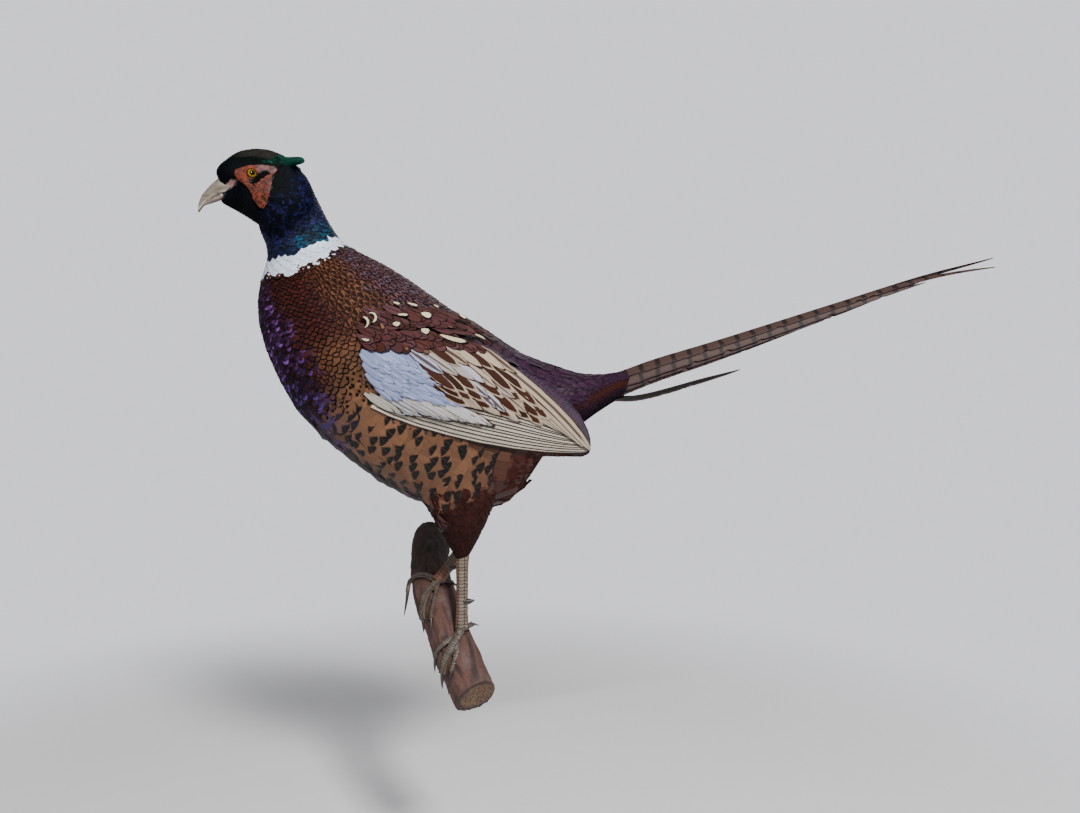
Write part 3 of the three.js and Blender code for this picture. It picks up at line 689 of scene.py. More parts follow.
SPOT = [
    (0, 0.2), (0.12, 0.55), (0.3, 0.85), (0.5, 0.95), (0.7, 1), (0.85, 0.85), (0.95, 0.55),
    (1, 0.2),
]
PLATE = [(0, 0.9), (0.35, 1), (0.7, 0.97), (0.92, 0.86), (1, 0.7)]
# How much of the slack a vane's rims have, its random tilt in millimetres, and the width of its
# patch on the skin's unwrap.
RIM_SLACK = 0.6
TILT = 0.12
PATCH = 0.003


def lay_vanes(
    surface, root, lie, length, width, shape, columns, rise, camber=0.0, fray=0.0, slack=2.5,
    sweep=0.0, lift=0.0,
):
    """Vertices of vanes laid on a surface: each follows it from its root along its lie.

    Lengths and widths are in metres and the sweep of a bent vane is in radians. The heights of
    root and tip, camber, lift and slack, which is how far a vane bends to meet the surface, are
    in millimetres. Returns an array of feathers, rows, columns and three coordinates.
    """
    count = len(root)
    length, width, sweep = (np.broadcast_to(v, count) for v in (length, width, sweep))
    rng = np.random.default_rng(5 + count)
    middle, normal, _ = surface.nearest(root)
    ahead = unit(lie - normal * (lie * normal).sum(1, keepdims=True))
    out = np.empty((count, len(shape), columns, 3))
    tilt = rng.uniform(-TILT, TILT, count)
    before = 0.0

    def drawn(guess, slack):
        """Points drawn to the surface by no more than slack, and how far and which way it lies."""
        found, there, _ = surface.nearest(guess)
        pull = found - guess
        far = np.linalg.norm(pull, axis=1, keepdims=True)
        return guess + pull * np.minimum(1, slack * MM / np.maximum(far, 1e-9)), far, there

    for k, (share, wide) in enumerate(shape):
        if k:
            turned = ahead * np.cos(sweep * (share - before))[:, None]
            turned += np.cross(normal, ahead) * np.sin(sweep * (share - before))[:, None]
            ahead_of = middle + turned * (length * (share - before))[:, None]
            middle, far, there = drawn(ahead_of, slack)
            normal = np.where(far > slack * MM, normal, there)
            ahead = unit(turned - normal * (turned * normal).sum(1, keepdims=True))
            before = share
        across = np.cross(normal, ahead)
        for j in range(columns):
            a = 2 * j / (columns - 1) - 1
            shift = rng.uniform(-fray, fray, count) * length * ease(share, 0.5, 1.0)
            guess = middle + across * (a * width / 2 * wide)[:, None] + ahead * shift[:, None]
            if a:
                guess = drawn(guess, slack * RIM_SLACK)[0]
            height = rise[0] + (rise[1] - rise[0]) * share
            height = height + camber * (1 - a * a) + tilt * a + lift
            out[:, k, j] = guess + normal * (height * MM)[:, None]
    return out


def in_cells(first, count, total):
    """Corners and size of count cells, from the first, of an unwrap with a cell for each vane."""
    columns = max(1, math.ceil(math.sqrt(total / 4)))
    rows = math.ceil(total / columns)
    index = np.arange(first, first + count)
    corner = np.stack([index % columns / columns, index // columns / rows], 1)
    return corner, np.array([0.9 / columns, 0.9 / rows])


def vane_mesh(name, batches, material, slot, *nodes, cells=False):
    """One finished piece of many vanes. Each batch is its vertices, shape, colours and roots.

    A vane's patch of OFBake lies at its root on the skin's unwrap or, with cells, in a cell of
    its own.
    """
    points, faces, maps = [], [], {"OFBake": [], "Vane": []}
    paints = {key: [] for key in ("Base", "Edge", "Mark", "Form")}
    total = sum(len(batch[0]) for batch in batches)
    start = done = 0
    for vertices, shape, marks, roots in batches:
        count, rows, columns, _ = vertices.shape
        points.append(vertices.reshape(-1, 3))
        grid = np.arange(rows * columns).reshape(rows, columns)
        quad = [grid[:-1, :-1], grid[:-1, 1:], grid[1:, 1:], grid[1:, :-1]]
        quad = np.stack(quad, -1).reshape(-1, 4)
        every = (np.arange(count) * rows * columns)[:, None, None] + quad[None] + start
        faces.append(every.reshape(-1, 4))
        u = np.linspace(0, 1, columns)[None, :].repeat(rows, 0).ravel()
        v = np.array([share for share, _ in shape])[:, None].repeat(columns, 1).ravel()
        local = np.stack([u, v], 1)[quad.ravel()]
        maps["Vane"].append(np.tile(local, (count, 1)))
        if cells:
            corner, size_ = in_cells(done, count, total)
            patch = corner[:, None] + (local * size_ + size_ * 0.05)[None]
        else:
            patch = skin_places(roots)[:, None] + ((local - 0.5) * PATCH)[None]
        maps["OFBake"].append(patch.reshape(-1, 2))
        for key in paints:
            paints[key].append(np.repeat(marks[key], rows * columns, axis=0))
        start += count * rows * columns
        done += count
    mesh = bpy.data.meshes.new(name)
    points, faces = np.concatenate(points), np.concatenate(faces)
    mesh.vertices.add(len(points))
    mesh.loops.add(faces.size)
    mesh.polygons.add(len(faces))
    mesh.vertices.foreach_set("co", points.astype(np.float32).ravel())
    mesh.loops.foreach_set("vertex_index", faces.astype(np.int32).ravel())
    mesh.polygons.foreach_set("loop_start", np.arange(0, faces.size, 4, dtype=np.int32))
    mesh.update(calc_edges=True)
    for label, values in maps.items():
        layer = mesh.uv_layers.new(name=label)
        layer.data.foreach_set("uv", np.concatenate(values).astype(np.float32).ravel())
    for key, values in paints.items():
        paint(mesh, key, np.concatenate(values))
    mesh.validate()
    mesh.shade_smooth()
    obj = new_object(name, mesh)
    settle(obj, material, slot, *nodes)
    return obj


def skin_places(roots):
    """Where each root lies on the skin's unwrap."""
    skin = form("skin")
    _, _, index = skin.nearest(roots)
    mesh = skin.obj.data
    uv = np.empty(len(mesh.loops) * 2, np.float32)
    mesh.uv_layers["OFBake"].data.foreach_get("uv", uv)
    uv = uv.reshape(-1, 2)
    starts = np.array([mesh.polygons[i].loop_start for i in index])
    return (uv[starts] + uv[starts + 2]) / 2


def blend(share, a, b):
    share = np.asarray(share, float)[:, None]
    return a * (1 - share) + b * share


def spread(colour, count, rng, amount=0.12):
    """One colour for many feathers, each a little lighter or darker."""
    tone = 1 + rng.uniform(-amount, amount, (count, 1))
    return np.tile(np.array(colour[:3]), (count, 1)) * tone


class Marks(dict):
    """The colours of many feathers: Base, Edge and Mark, and Form, which holds the sizes of the
    dark rim, the spot at the tip, the eye spot and the streak."""

    def __init__(self, count, rng):
        super().__init__()
        self.count, self.random = count, rng

    def tone(self, colour, amount=0.12):
        return spread(colour, self.count, self.random, amount)

    def over(self, share, base=None, edge=None, rim=None, streak=0):
        """Lays other colours and sizes over a share of each feather's own."""
        form_ = None if rim is None else (rim, 0, 0, streak)
        for key, value in (("Base", base), ("Edge", edge), ("Form", form_)):
            if value is not None:
                self[key] = blend(share, self[key], np.asarray(value))


def plain_marks(base, edge, rng, count, rim=0.1, mark=None, amount=0.12):
    made = Marks(count, rng)
    mark = edge if mark is None else mark
    for key, colour in (("Base", base), ("Edge", edge), ("Mark", mark)):
        made[key] = made.tone(colour, amount)
    made["Form"] = np.tile([rim, 0.0, 0.0, 0.0], (count, 1))
    return made


# ---- settings ----


def tints(**given):
    """Colour settings, each given as a description and a code."""
    return {
        key: FloatVectorProperty(
            name=key.replace("_", " ").capitalize(), description=description, subtype="COLOR",
            size=3, min=0, max=1, default=shade(code),
        )
        for key, (description, code) in given.items()
    }


def size(name, description, millimetres):
    return FloatProperty(
        name=name, description=description, default=millimetres * MM, min=0, subtype="DISTANCE",
        unit="LENGTH",
    )


def lines(name, description, default):
    return IntProperty(name=name, description=description, default=default, min=12)


class PlumageColours(bpy.types.PropertyGroup):
    """Colours of the neck's and body's feathers."""

    __annotations__ = tints(
        black=("Feather edges and flank spots", "060406"),
        neck=("Base of the neck's feathers", "101626"),
        violet=("Gloss on the sides of the neck", "1e1f52"),
        teal=("Gloss above the collar", "0b445d"),
        collar=("The white ring", "dde6f4"),
        copper=("Mantle feathers", "64402b"),
        maroon=("Breast feathers", "421b15"),
        purple=("Gloss on the front of the breast", "6b3f86"),
        mauve=("Sheen along the back", "553439"),
        gold=("Flank feathers", "765139"),
        vent=("Soft feathers under the tail", "3e1d17"),
        rump=("Soft feathers over the tail's root", "341d31"),
        chestnut=("Scapular feathers", "44221b"),
        cream=("Spots on the scapular feathers", "d8cca8"),
        thigh=("Hair-like feathers of the thighs", "2b1512"),
    )


class WingColours(bpy.types.PropertyGroup):
    """Colours of the wing's and tail's feathers."""

    __annotations__ = tints(
        covert=("Pale blue-grey wing coverts", "8790b4"),
        covert_edge=("Their lighter rims", "a9afc6"),
        quill=("Secondary feathers", "bcb2a2"),
        line=("Dark line along each of them", "2a1c16"),
        buff=("Tertial feathers", "a89783"),
        chocolate=("Their dark middles", "34190f"),
        rust=("Their warm rims", "96734a"),
        tail=("Tail feathers", "433029"),
        tail_bar=("Dark bars across them", "120a0a"),
        tail_rim=("Purple-brown fringes", "2e1b1f"),
    )


class HeadColours(bpy.types.PropertyGroup):
    """Colours of the head, bill and eyes."""

    __annotations__ = tints(
        crown=("Bronze-green of the crown", "1d1c18"),
        emerald=("Stripe over the eye and the ear tufts", "08362b"),
        cheek=("Throat and cheeks", "030508"),
        red=("Bare skin of the face", "71301a"),
        pink=("Upper rim of the bare skin", "6a4440"),
        lore=("Bare patch by the bill", "825f5a"),
        horn=("The bill", "7b7063"),
        horn_low=("The lower bill and the bill's edges", "77594a"),
        iris=("The eye's ring", "94701a"),
    )


class LimbColours(bpy.types.PropertyGroup):
    """Colours of the legs, claws and branch."""

    __annotations__ = tints(
        scale=("Plates of the legs and toes", "6f6255"),
        scale_warm=("Plates down the front of the leg", "74452f"),
        crease=("Skin between the plates", "32251c"),
        claw=("Claws and spurs", "2c2522"),
        bark=("The branch's bark", "553830"),
        bark_deep=("Furrows of the bark", "33231f"),
        cut=("The branch's sawn end", "7c5f42"),
    )


class CoatSizes(bpy.types.PropertyGroup):
    """Depths and lengths of the coat."""

    depth: size("Coat depth", "How far the skin lies inside the feathers", 2.0)
    head_depth: size("Head depth", "The same on the head", 0.7)
    neck_lines: lines("Neck lines", "Lines of feathers round the neck", 56)
    breast_lines: lines("Breast lines", "Lines round the breast", 140)
    mantle_lines: lines("Mantle lines", "Lines round the mantle", 124)
    flank_lines: lines("Flank lines", "Lines round the flanks", 62)
    soft_lines: lines("Soft lines", "Lines of soft feathers round the rump", 96)
    head_lines: lines("Head lines", "Lines of feathers round the head", 84)


class StageSettings(bpy.types.PropertyGroup):
    """The floor and lights."""

    floor_height: FloatProperty(
        name="Floor height", description="Height of the floor", default=-0.32, unit="LENGTH"
    )
    key_power: FloatProperty(
        name="Key power", description="Strength of the main light", default=19, min=0
    )
    sky: FloatProperty(name="Sky", description="Strength of the even light", default=0.3, min=0)


# ---- the plumage's markings ----


def colours(part):
    """The colours set for the plumage, wing, head or limb."""
    return getattr(bpy.context.scene, f"{part}_colours")


def girdle(b, values):
    """A value that changes from the belly, 0, over the side, 90, to the back, 180."""
    return np.interp(b, [0, 48, 76, 93, 117, 160, 180], values)


COLLAR_TOP = [0.18, 0.192, 0.203, 0.195, 0.189, 0.177, 0.172]
COLLAR_LOW = [0.236, 0.256, 0.27, 0.269, 0.26, 0.232, 0.223]
# Where the gold flank starts along the body, from the belly to the back.
FLANK_START = ([0, 15, 23, 32, 45, 63, 74, 180], [0.73, 0.68, 0.62, 0.53, 0.49, 0.48, 0.463, 0.463])


def body_marks(t, f, rng):
    """Colours of the neck's and body's feathers at places of the body's chart."""
    c = colours("plumage")
    count = len(t)
    b = 360 * np.minimum(f, 1 - f)
    top, low = girdle(b, COLLAR_TOP), girdle(b, COLLAR_LOW)
    b = b + rng.uniform(-4, 4, count)
    t = t + rng.uniform(-0.002, 0.002, count)
    marks = Marks(count, rng)
    zone = marks.over
    tone = lambda colour, amount=0.14: marks.tone(colour, amount)
    black = tone(c.black, 0.3)
    marks.update(Base=tone(c.copper, 0.35), Edge=tone(c.maroon) * 0.5, Mark=tone(c.black))
    marks["Form"] = np.tile([0.12, 0.0, 0.0, 0.42], (count, 1))

    # The breast is maroon, dark at the rims, with a purple gloss down its front.
    zone(ease(b, 104, 80) * ease(t, 0.47, 0.41), tone(c.maroon, 0.35), black, 0.3)
    # Along the back some feathers get a painted blue-grey glint over their mauve.
    back_glint = rng.choice([0.0, 0.0, 0.15, 0.4], count)
    streaked = blend(back_glint, tone(c.mauve, 0.4), np.array([0.13, 0.115, 0.15]))
    zone(ease(b, 118, 134), streaked, black, 0.12, 0.25)
    zone(ease(b, 92, 100) * ease(t, 0.395, 0.425), tone(c.chestnut, 0.3), black, 0.12, 0.1)
    warm = ease(t, 0.38, 0.43) * ease(b, 55, 70) * ease(b, 104, 96)
    zone(warm, tone(c.copper, 0.3), black, 0.22)
    # Gold flanks carry a black spot at the tip of each feather.
    start = np.interp(b, *FLANK_START)
    flank = ease(t, start - 0.04, start - 0.025) * ease(b, 118, 106)
    belly = ease(t, 0.46, 0.5) * (1 - flank) * ease(b, 70, 55)
    # Some belly feathers have rims of painted violet glint.
    blue = (rng.random(count) < 0.5) * ease(b, 10, 22) * rng.uniform(0.1, 0.7, count)
    zone(belly, tone(c.maroon, 0.3) * 0.7, blend(blue, black, tone(c.purple, 0.4) * 0.6), 0.4)
    spot = rng.uniform(0.17, 0.27, count) * (rng.random(count) < 0.88) * (t > start - 0.01)
    # Where they begin they are darker, with a purple gloss on some.
    early = ease(t, start + 0.03, start - 0.03)
    golden = tone(c.gold, 0.22) * (1 - 0.45 * early)[:, None]
    golden = golden * (1 - 0.25 * ease(t, 0.5, 0.6))[:, None]
    glossed = early * (rng.random(count) < 0.35) * 0.6 * ease(b, 62, 48)
    golden = blend(glossed, golden, tone(c.purple, 0.3) * 0.6)
    zone(flank, golden, black)
    spotted = np.stack([0.25 * (t <= start - 0.01), spot, 0 * t, 0 * t], 1)
    marks["Form"] = blend(flank, marks["Form"], spotted)
    glossy = ease(b, 52 + 14 * ease(t, 0.3, 0.36), 40) * ease(t, 0.255, 0.285) * ease(t, 0.52, 0.44)
    glint = blend(0.6 * ease(t, 0.38, 0.46), tone(c.purple, 0.35), tone(c.violet, 0.3) * 2)
    glint = glint * rng.choice([0.04, 0.1, 0.2, 0.4, 1.3], (count, 1))
    zone(glossy, tone(c.maroon, 0.3) * 0.5, glint, 0.55)
    # The back and rump are dark and soft; the vent is brown.
    zone(ease(t, 0.48, 0.56) * ease(b, 100, 110), tone(c.rump, 0.2), tone(c.rump) * 0.45, 0.16)
    # Painted shadow darkens the flank under the wing's lower edge.
    shadow = ease(t, 0.5, 0.53) * ease(b, 78, 88) * ease(b, 122, 108)
    zone(shadow, tone(c.thigh) * 0.5, black, 0.1)
    mixed = ease(t, 0.56, 0.66) * ease(b, 60, 20) * (rng.random(count) < 0.8)
    zone(mixed, tone(c.vent, 0.5) * rng.choice([0.4, 0.7, 1.1], (count, 1)), black)
    soft = ease(t, 0.672, 0.705) * ease(b, 116, 104)
    zone(soft, tone(c.vent, 0.25), tone(c.vent) * 0.5, 0.05)
    zone(ease(t, 0.78, 0.84) * ease(b, 100, 60), tone(c.rump, 0.3) * 0.6, black, 0.05)
    # The neck is blue-black with a gloss on the rims, and ends in the white collar.
    neck = (t < top).astype(float)
    sheen = tone(c.violet, 0.4) * rng.choice([0.15, 0.3, 0.55, 0.9], (count, 1))
    teal = tone(c.teal, 0.3) * rng.choice([0.15, 0.3, 0.6, 1.0], (count, 1))
    rim = blend(ease(t, 0.115, 0.165) * ease(b, 60, 100), sheen, teal)
    rim = blend(ease(t, 0.05, 0.0), rim, tone(c.black) * 1.5)
    zone(neck, tone(c.neck, 0.2), rim, 0.5)
    ring = ((t >= top) & (t < low)).astype(float)
    zone(ring, tone(c.collar, 0.07), tone(c.collar, 0.05), 0.1)
    return marks


def head_marks(points, rng):
    """Colours of the head's feathers at points of the row's frame, in millimetres."""
    c = colours("head")
    x, side, z = in_head(points).T
    made = Marks(len(x), rng)
    tone = lambda colour, amount=0.2: made.tone(colour, amount)
    made.update(Base=tone(c.cheek), Edge=tone(c.cheek) * 1.8)
    crown = ease(z, 351, 355) * ease(x, -68, -58)
    made.over(crown, tone(c.crown), tone(c.crown) * 1.4)
    line = np.interp(x, [-60, -50, -31, -5], [349.3, 350.4, 350.6, 349.6])
    stripe = ease(np.abs(z - line), 3.4, 2.0) * ease(x, -62, -52) * (np.abs(side) > 5)
    emerald = tone(c.emerald, 0.4) * rng.choice([0.3, 0.8, 1.2], (made.count, 1))
    emerald = emerald * (0.06 + 0.94 * ease(x, -44, -35))[:, None]
    made.over(stripe, emerald * 0.7, emerald)
    nape = np.maximum(ease(x, -26, -8), ease(z, 328, 314) * ease(x, -46, -38)) * (1 - crown)
    gloss = tone(colours("plumage").violet, 0.4)
    made.over(nape * 0.6, edge=gloss * rng.choice([0.05, 0.15, 0.4, 0.9], (made.count, 1)))
    made["Mark"] = made["Base"] * 0.5
    made["Form"] = np.tile([0.6, 0.0, 0.0, 0.0], (made.count, 1))
    return made


# The folded wing's rear outline, from the back to the tip.
WING_REAR = [
    (63.6, 193.5), (97.5, 170.6), (121.3, 151.1), (144.2, 129.9), (155.2, 112.9), (158.6, 100.2),
]


def wing_marks(x, z, rng):
    """Colours of the short feathers that underlie the wing's rows."""
    c, p = colours("wing"), colours("plumage")
    made = plain_marks(c.covert, c.covert_edge, rng, len(x))
    tone = made.tone
    line = np.interp(x, [-40, -31, -7, 26, 41, 63], [196, 191, 182, 177, 181, 189])
    made.over(ease(z - line, -2, 2), tone(p.chestnut), tone(p.black))
    rear = ease(x - np.interp(z, [130, 190], [70, 56]), -2, 4)
    made.over(rear, tone(c.chocolate, 0.3), tone(c.rust) * 0.3)
    beyond = ease(z - np.interp(x, *np.transpose(WING_REAR)), -1.5, 1) * ease(x, 58, 66)
    made.over(beyond, tone(p.rump, 0.25), tone(p.rump) * 0.5)
    front = ease(x - np.interp(z, [150, 190], [-26, -34]), 2, -2)
    made.over(front, tone(p.copper, 0.25) * 0.8, tone(p.black))
    # Below the wing's lower edge the colour is made dark: painted shade under the wing.
    low = ease(z - np.interp(x, [-20, 158], [150, 130]), 2, -2) * (1 - beyond)
    made.over(low, tone(c.line), tone(c.line))
    return made


# ---- operators ----

FLESH = ["head", "neck", "trunk", "rump"] + [
    f"{part}_{side}" + tail
    for side, _ in SIDES
    for part, tail in (("thigh", ""), ("ear_tuft", ""), ("wing", "_coverts"), ("wing", "_quills"))
]


def colour_skin(skin):
    """Paints the skin as the coat over it is marked, a little darker."""
    rng = np.random.default_rng(2)
    co = coords(skin.data)
    t, f = chart("body").place_of(co)
    marks = body_marks(t, f, rng)
    x, _, z = in_head(co / MM).T
    head = ease(z, 300, 312) * ease(x, 4, -2)
    over = head_marks(co / MM, rng)
    out = np.abs(co[:, 1] / MM - middle_y(co[:, 0] / MM))
    body = chart("body").at(chart("body").points, t, f)
    proud = np.linalg.norm(co / MM - body, axis=1)
    wing = ease(proud, 3, 5) * (out > 22) * ease(co[:, 2], 0.096, 0.1) * (1 - head)
    short = wing_marks(co[:, 0] / MM, co[:, 2] / MM, rng)
    leg = ease(proud, 3, 6) * (co[:, 2] < 0.094) * (1 - head)
    thigh = marks.tone(colours("plumage").thigh, 0.2)
    for share, base in ((head, over["Base"]), (wing, short["Base"]), (leg, thigh)):
        marks.over(share, base)
    base = marks["Base"]
    lore = inside(LORE_OUTLINE, x, z) & (head > 0.5)
    base[lore] = colours("head").lore[:]
    paint(skin.data, "Base", np.where(lore[:, None], base, base * 0.6))


def skin_finish():
    material, w = new_material("skin", Roughness=0.75)
    grain = w.noise(w.place(), 900, 3)
    w.surface(w.toned(w.attribute("Base"), grain, 0.6, 0.7), grain, 0.4, 0.0004)
    return material


class PHEASANT_OT_skin(bpy.types.Operator):
    """Fuse the flesh into one skin and draw it in by the coat's depth"""

    bl_idname = "pheasant.skin"
    bl_label = "Skin"

    def execute(self, context):
        sizes = context.scene.coat_sizes
        outer = softened(copy_of(FLESH, "coat_form"), 2.0, 5)
        local = in_head(coords(outer.data) / MM)
        set_coords(outer.data, on_head(pinched(local)) * MM)
        FORMS["coat"] = Surface(outer)
        skin = new_object("skin", outer.data.copy())
        co, normals = coords(skin.data), vertex_normals(skin.data)
        local = in_head(co / MM)
        head = ease(local[:, 2], 296, 306) * ease(local[:, 0], 4, 0)
        depth = sizes.depth + (sizes.head_depth - sizes.depth) * head
        set_coords(skin.data, co - normals * depth[:, None])
        apply_modifier(skin, "SMOOTH", factor=0.4, iterations=2)
        bpy.data.objects.remove(outer)
        if len(skin.data.polygons) < 1000:
            raise RuntimeError("the flesh did not fuse into a skin")
        edit_whole(
            skin, bpy.ops.uv.smart_project, angle_limit=math.radians(66), island_margin=0.002
        )
        skin.data.uv_layers[0].name = "OFBake"
        colour_skin(skin)
        bpy.ops.object.shade_smooth()
        settle(skin, skin_finish(), "body_plumage", *FLESH)
        FORMS["skin"] = Surface(skin)
        return {"FINISHED"}


def rooted(grid, surface, reach, start, end, count, pitch, rng, keep=None):
    """Places of a chart that lie on a surface: t, f, gap, points in metres and lie."""
    t, f, gap = grid.rows_of(start, end, count, pitch, rng)
    points = grid.at(grid.points, t, f) * MM
    shown = surface.within(points, reach)
    if keep is not None:
        shown &= keep(t, 360 * np.minimum(f, 1 - f), points / MM)
    t, f, gap, points = t[shown], f[shown], gap[shown], points[shown]
    return t, f, gap, points, grid.at(grid.lie, t, f)


def body_vanes(
    start, end, count, pitch, shape, columns, longer, wider, rise, rng, keep=None, **more
):
    """A batch of feathers on the body's chart, coloured by where their tips lie."""
    body, surface = chart("body"), form("coat")
    t, f, gap, points, lie = rooted(body, surface, ON_COAT, start, end, count, pitch, rng, keep)
    length = gap * pitch * longer * rng.uniform(0.9, 1.12, len(t))
    width = gap * 2 * wider * rng.uniform(0.92, 1.08, len(t))
    ahead = body.at(body.points, t + 0.01, f) - body.at(body.points, t, f)
    rate = np.linalg.norm(ahead, axis=1) / 0.01
    seen = t + SHOWN * length / np.maximum(rate, 1)
    sweep = rng.uniform(-0.12, 0.12, len(t))
    made = lay_vanes(
        surface, points, unit(lie), length * MM, width * MM, shape, columns, rise, sweep=sweep,
        **more,
    )
    return made, shape, body_marks(np.clip(seen, 0, 1), f, rng), points


class PHEASANT_OT_neck(bpy.types.Operator):
    """Lay the neck's scale-like feathers and the white collar"""

    bl_idname = "pheasant.neck"
    bl_label = "Neck feathers"

    def execute(self, context):
        rng = np.random.default_rng(11)

        def above_collar_edge(t, b, p):
            off_bill = (in_head(p)[:, 0] > -60) | (p[:, 2] < 310)
            return off_bill & (t < girdle(b, COLLAR_LOW) - 0.026)

        neck = body_vanes(
            0.0, 0.262, context.scene.coat_sizes.neck_lines, 1.7, ROUNDED, 5, 2.3, 1.3, (-1.3, 0.2),
            rng, above_collar_edge, camber=0.35, fray=0.03,
        )
        vane_mesh("neck_coat", [neck], feather_material("neck_feathers"), "neck_plumage")
        return {"FINISHED"}


class PHEASANT_OT_body(bpy.types.Operator):
    """Lay the mantle, breast, flank and back feathers"""

    bl_idname = "pheasant.body"
    bl_label = "Body feathers"

    def execute(self, context):
        rng = np.random.default_rng(12)
        sizes = context.scene.coat_sizes
        below_collar = lambda t, b: t > girdle(b, COLLAR_LOW) - 0.028
        mantle_edge = lambda t: 85 + 12 * ease(t, 0.33, 0.38)
        upper = body_vanes(
            0.19, 0.475, sizes.breast_lines, 1.9, ROUNDED, 5, 2.2, 1.25, (-1.6, 0.0), rng,
            lambda t, b, p: below_collar(t, b) & (b < mantle_edge(t) + 5), camber=0.3,
        )
        mantle = body_vanes(
            0.18, 0.475, sizes.mantle_lines, 3.0, ROUNDED, 5, 2.1, 1.35, (-1.6, 0.1), rng,
            lambda t, b, p: below_collar(t, b) & (b > mantle_edge(t)), camber=0.3, fray=0.02,
        )
        lower = body_vanes(
            0.455, 0.73, sizes.flank_lines, 1.9, FLANK, 5, 2.1, 1.4, (-1.7, 0.1), rng, camber=0.4
        )
        for name, batches in (("breast", [upper, mantle]), ("flank", [lower])):
            vane_mesh(f"{name}_coat", batches, feather_material(f"{name}_feathers"), "body_plumage")
        return {"FINISHED"}


def thigh_vanes(side, rng):
    surface, thigh = form("coat"), chart(f"thigh_{side}")
    _, _, gap, points, lie = rooted(thigh, surface, ON_COAT, 0.0, 0.97, 52, 1.9, rng)
    count = len(gap)
    length = np.clip(gap * 6, 7, 16) * MM * rng.uniform(0.85, 1.15, count)
    made = lay_vanes(
        surface, points, unit(lie + [0.25, 0, 0]), length, gap * 2.4 * MM, POINTED, 3, (-1.6, 0.4),
        camber=0.25, fray=0.05, sweep=rng.uniform(-0.2, 0.2, count),
    )
    c = colours("plumage")
    marks = plain_marks(c.thigh, c.thigh, rng, count, 0.05, amount=0.35)
    warm = rng.uniform(0, 0.5, count) * ease(points[:, 2], 0.04, 0.08)
    marks.over(warm, marks.tone(c.vent))
    return made, POINTED, marks, points


class PHEASANT_OT_soft(bpy.types.Operator):
    """Lay the hair-like feathers of the rump, vent and thighs"""

    bl_idname = "pheasant.soft"
    bl_label = "Soft feathers"

    def execute(self, context):
        rng = np.random.default_rng(13)
        behind = lambda t, b, p: (t > 0.66) | (b > 110)
        rump = body_vanes(
            0.52, 0.985, context.scene.coat_sizes.soft_lines, 1.6, POINTED, 3, 5.0, 1.1,
            (-1.7, 0.5), rng, behind, camber=0.3, fray=0.06,
        )
        batches = [rump] + [thigh_vanes(side, rng) for side, _ in SIDES]
        vane_mesh("soft_coat", batches, feather_material("soft_feathers"), "rump_plumage")
        return {"FINISHED"}


def tuft_vanes(side, surface, rng):
    t, _, _, points, lie = rooted(chart(f"tuft_{side}"), surface, 1.5, 0.0, 0.98, 22, 1.6, rng)
    count = len(t)
    length = (6.0 - 3.5 * ease(t, 0.55, 0.9)) * MM * rng.uniform(0.85, 1.15, count)
    made = lay_vanes(
        surface, points, lie, length, 2.2 * MM, SMALL, 3, (-0.3, 0.3), camber=0.15, slack=0.8
    )
    c = colours("head")
    marks = plain_marks(c.emerald, c.emerald, rng, count, 0.3, amount=0.4)
    black = marks.tone(c.cheek)
    marks.over(ease(t, 0.84, 0.97), black, black)
    return made, SMALL, marks, points


class PHEASANT_OT_head_feathers(bpy.types.Operator):
    """Lay the head's short feathers and the ear tufts round the bare face"""

    bl_idname = "pheasant.head_feathers"
    bl_label = "Head feathers"

    def execute(self, context):
        rng = np.random.default_rng(14)
        surface, head = form("coat"), chart("head")
        t, f, gap = head.rows_of(0.0, 1.0, context.scene.coat_sizes.head_lines, 1.7, rng)
        local = pinched(in_head(head.at(head.points, t, f)))
        points = on_head(local) * MM
        lie = unit(head.at(head.lie, t, f))
        x, side, z = local.T
        # The first feathers overlap the rim of the bare face a little.
        face = [(-47 + (a + 47) * 0.94, 331 + (b - 331) * 0.94) for a, b in FACE_OUTLINE]
        bare = inside(face, x, z) | inside(LORE_OUTLINE, x, z)
        covered = (bare & (np.abs(side) > 6)) | inside(BILL_OUTLINE, x, z)
        shown = surface.within(points, 1.2) & ~covered
        points, lie, gap, local = points[shown], lie[shown], gap[shown], local[shown]
        count = len(points)
        # Towards the nape and throat the feathers turn down the neck.
        down = np.array([0.35, 0.05, -1.0])
        turn = ease(local[:, 0], -42, -8) * 0.8 + ease(local[:, 2], 318, 300) * 0.3
        turn = turn[:, None]
        lie = unit(lie * (1 - turn) + down * turn)
        size_ = np.clip(gap, 1.0, 2.4)
        size_ = size_ * (0.75 + 0.6 * ease(local[:, 0], -60, -10))
        length = size_ * 4.2 * MM * rng.uniform(0.85, 1.15, count)
        made = lay_vanes(
            surface, points, lie, length, size_ * 2.5 * MM, SMALL, 3, (-0.6, 0.2), camber=0.15,
            slack=1.2, sweep=rng.uniform(-0.2, 0.2, count),
        )
        seen = points / MM + lie * (size_ * 2.6)[:, None]
        batches = [(made, SMALL, head_marks(seen, rng), points)]
        batches += [tuft_vanes(name, surface, rng) for name, _ in SIDES]
        vane_mesh("head_coat", batches, feather_material("head_feathers"), "head_plumage")
        return {"FINISHED"}


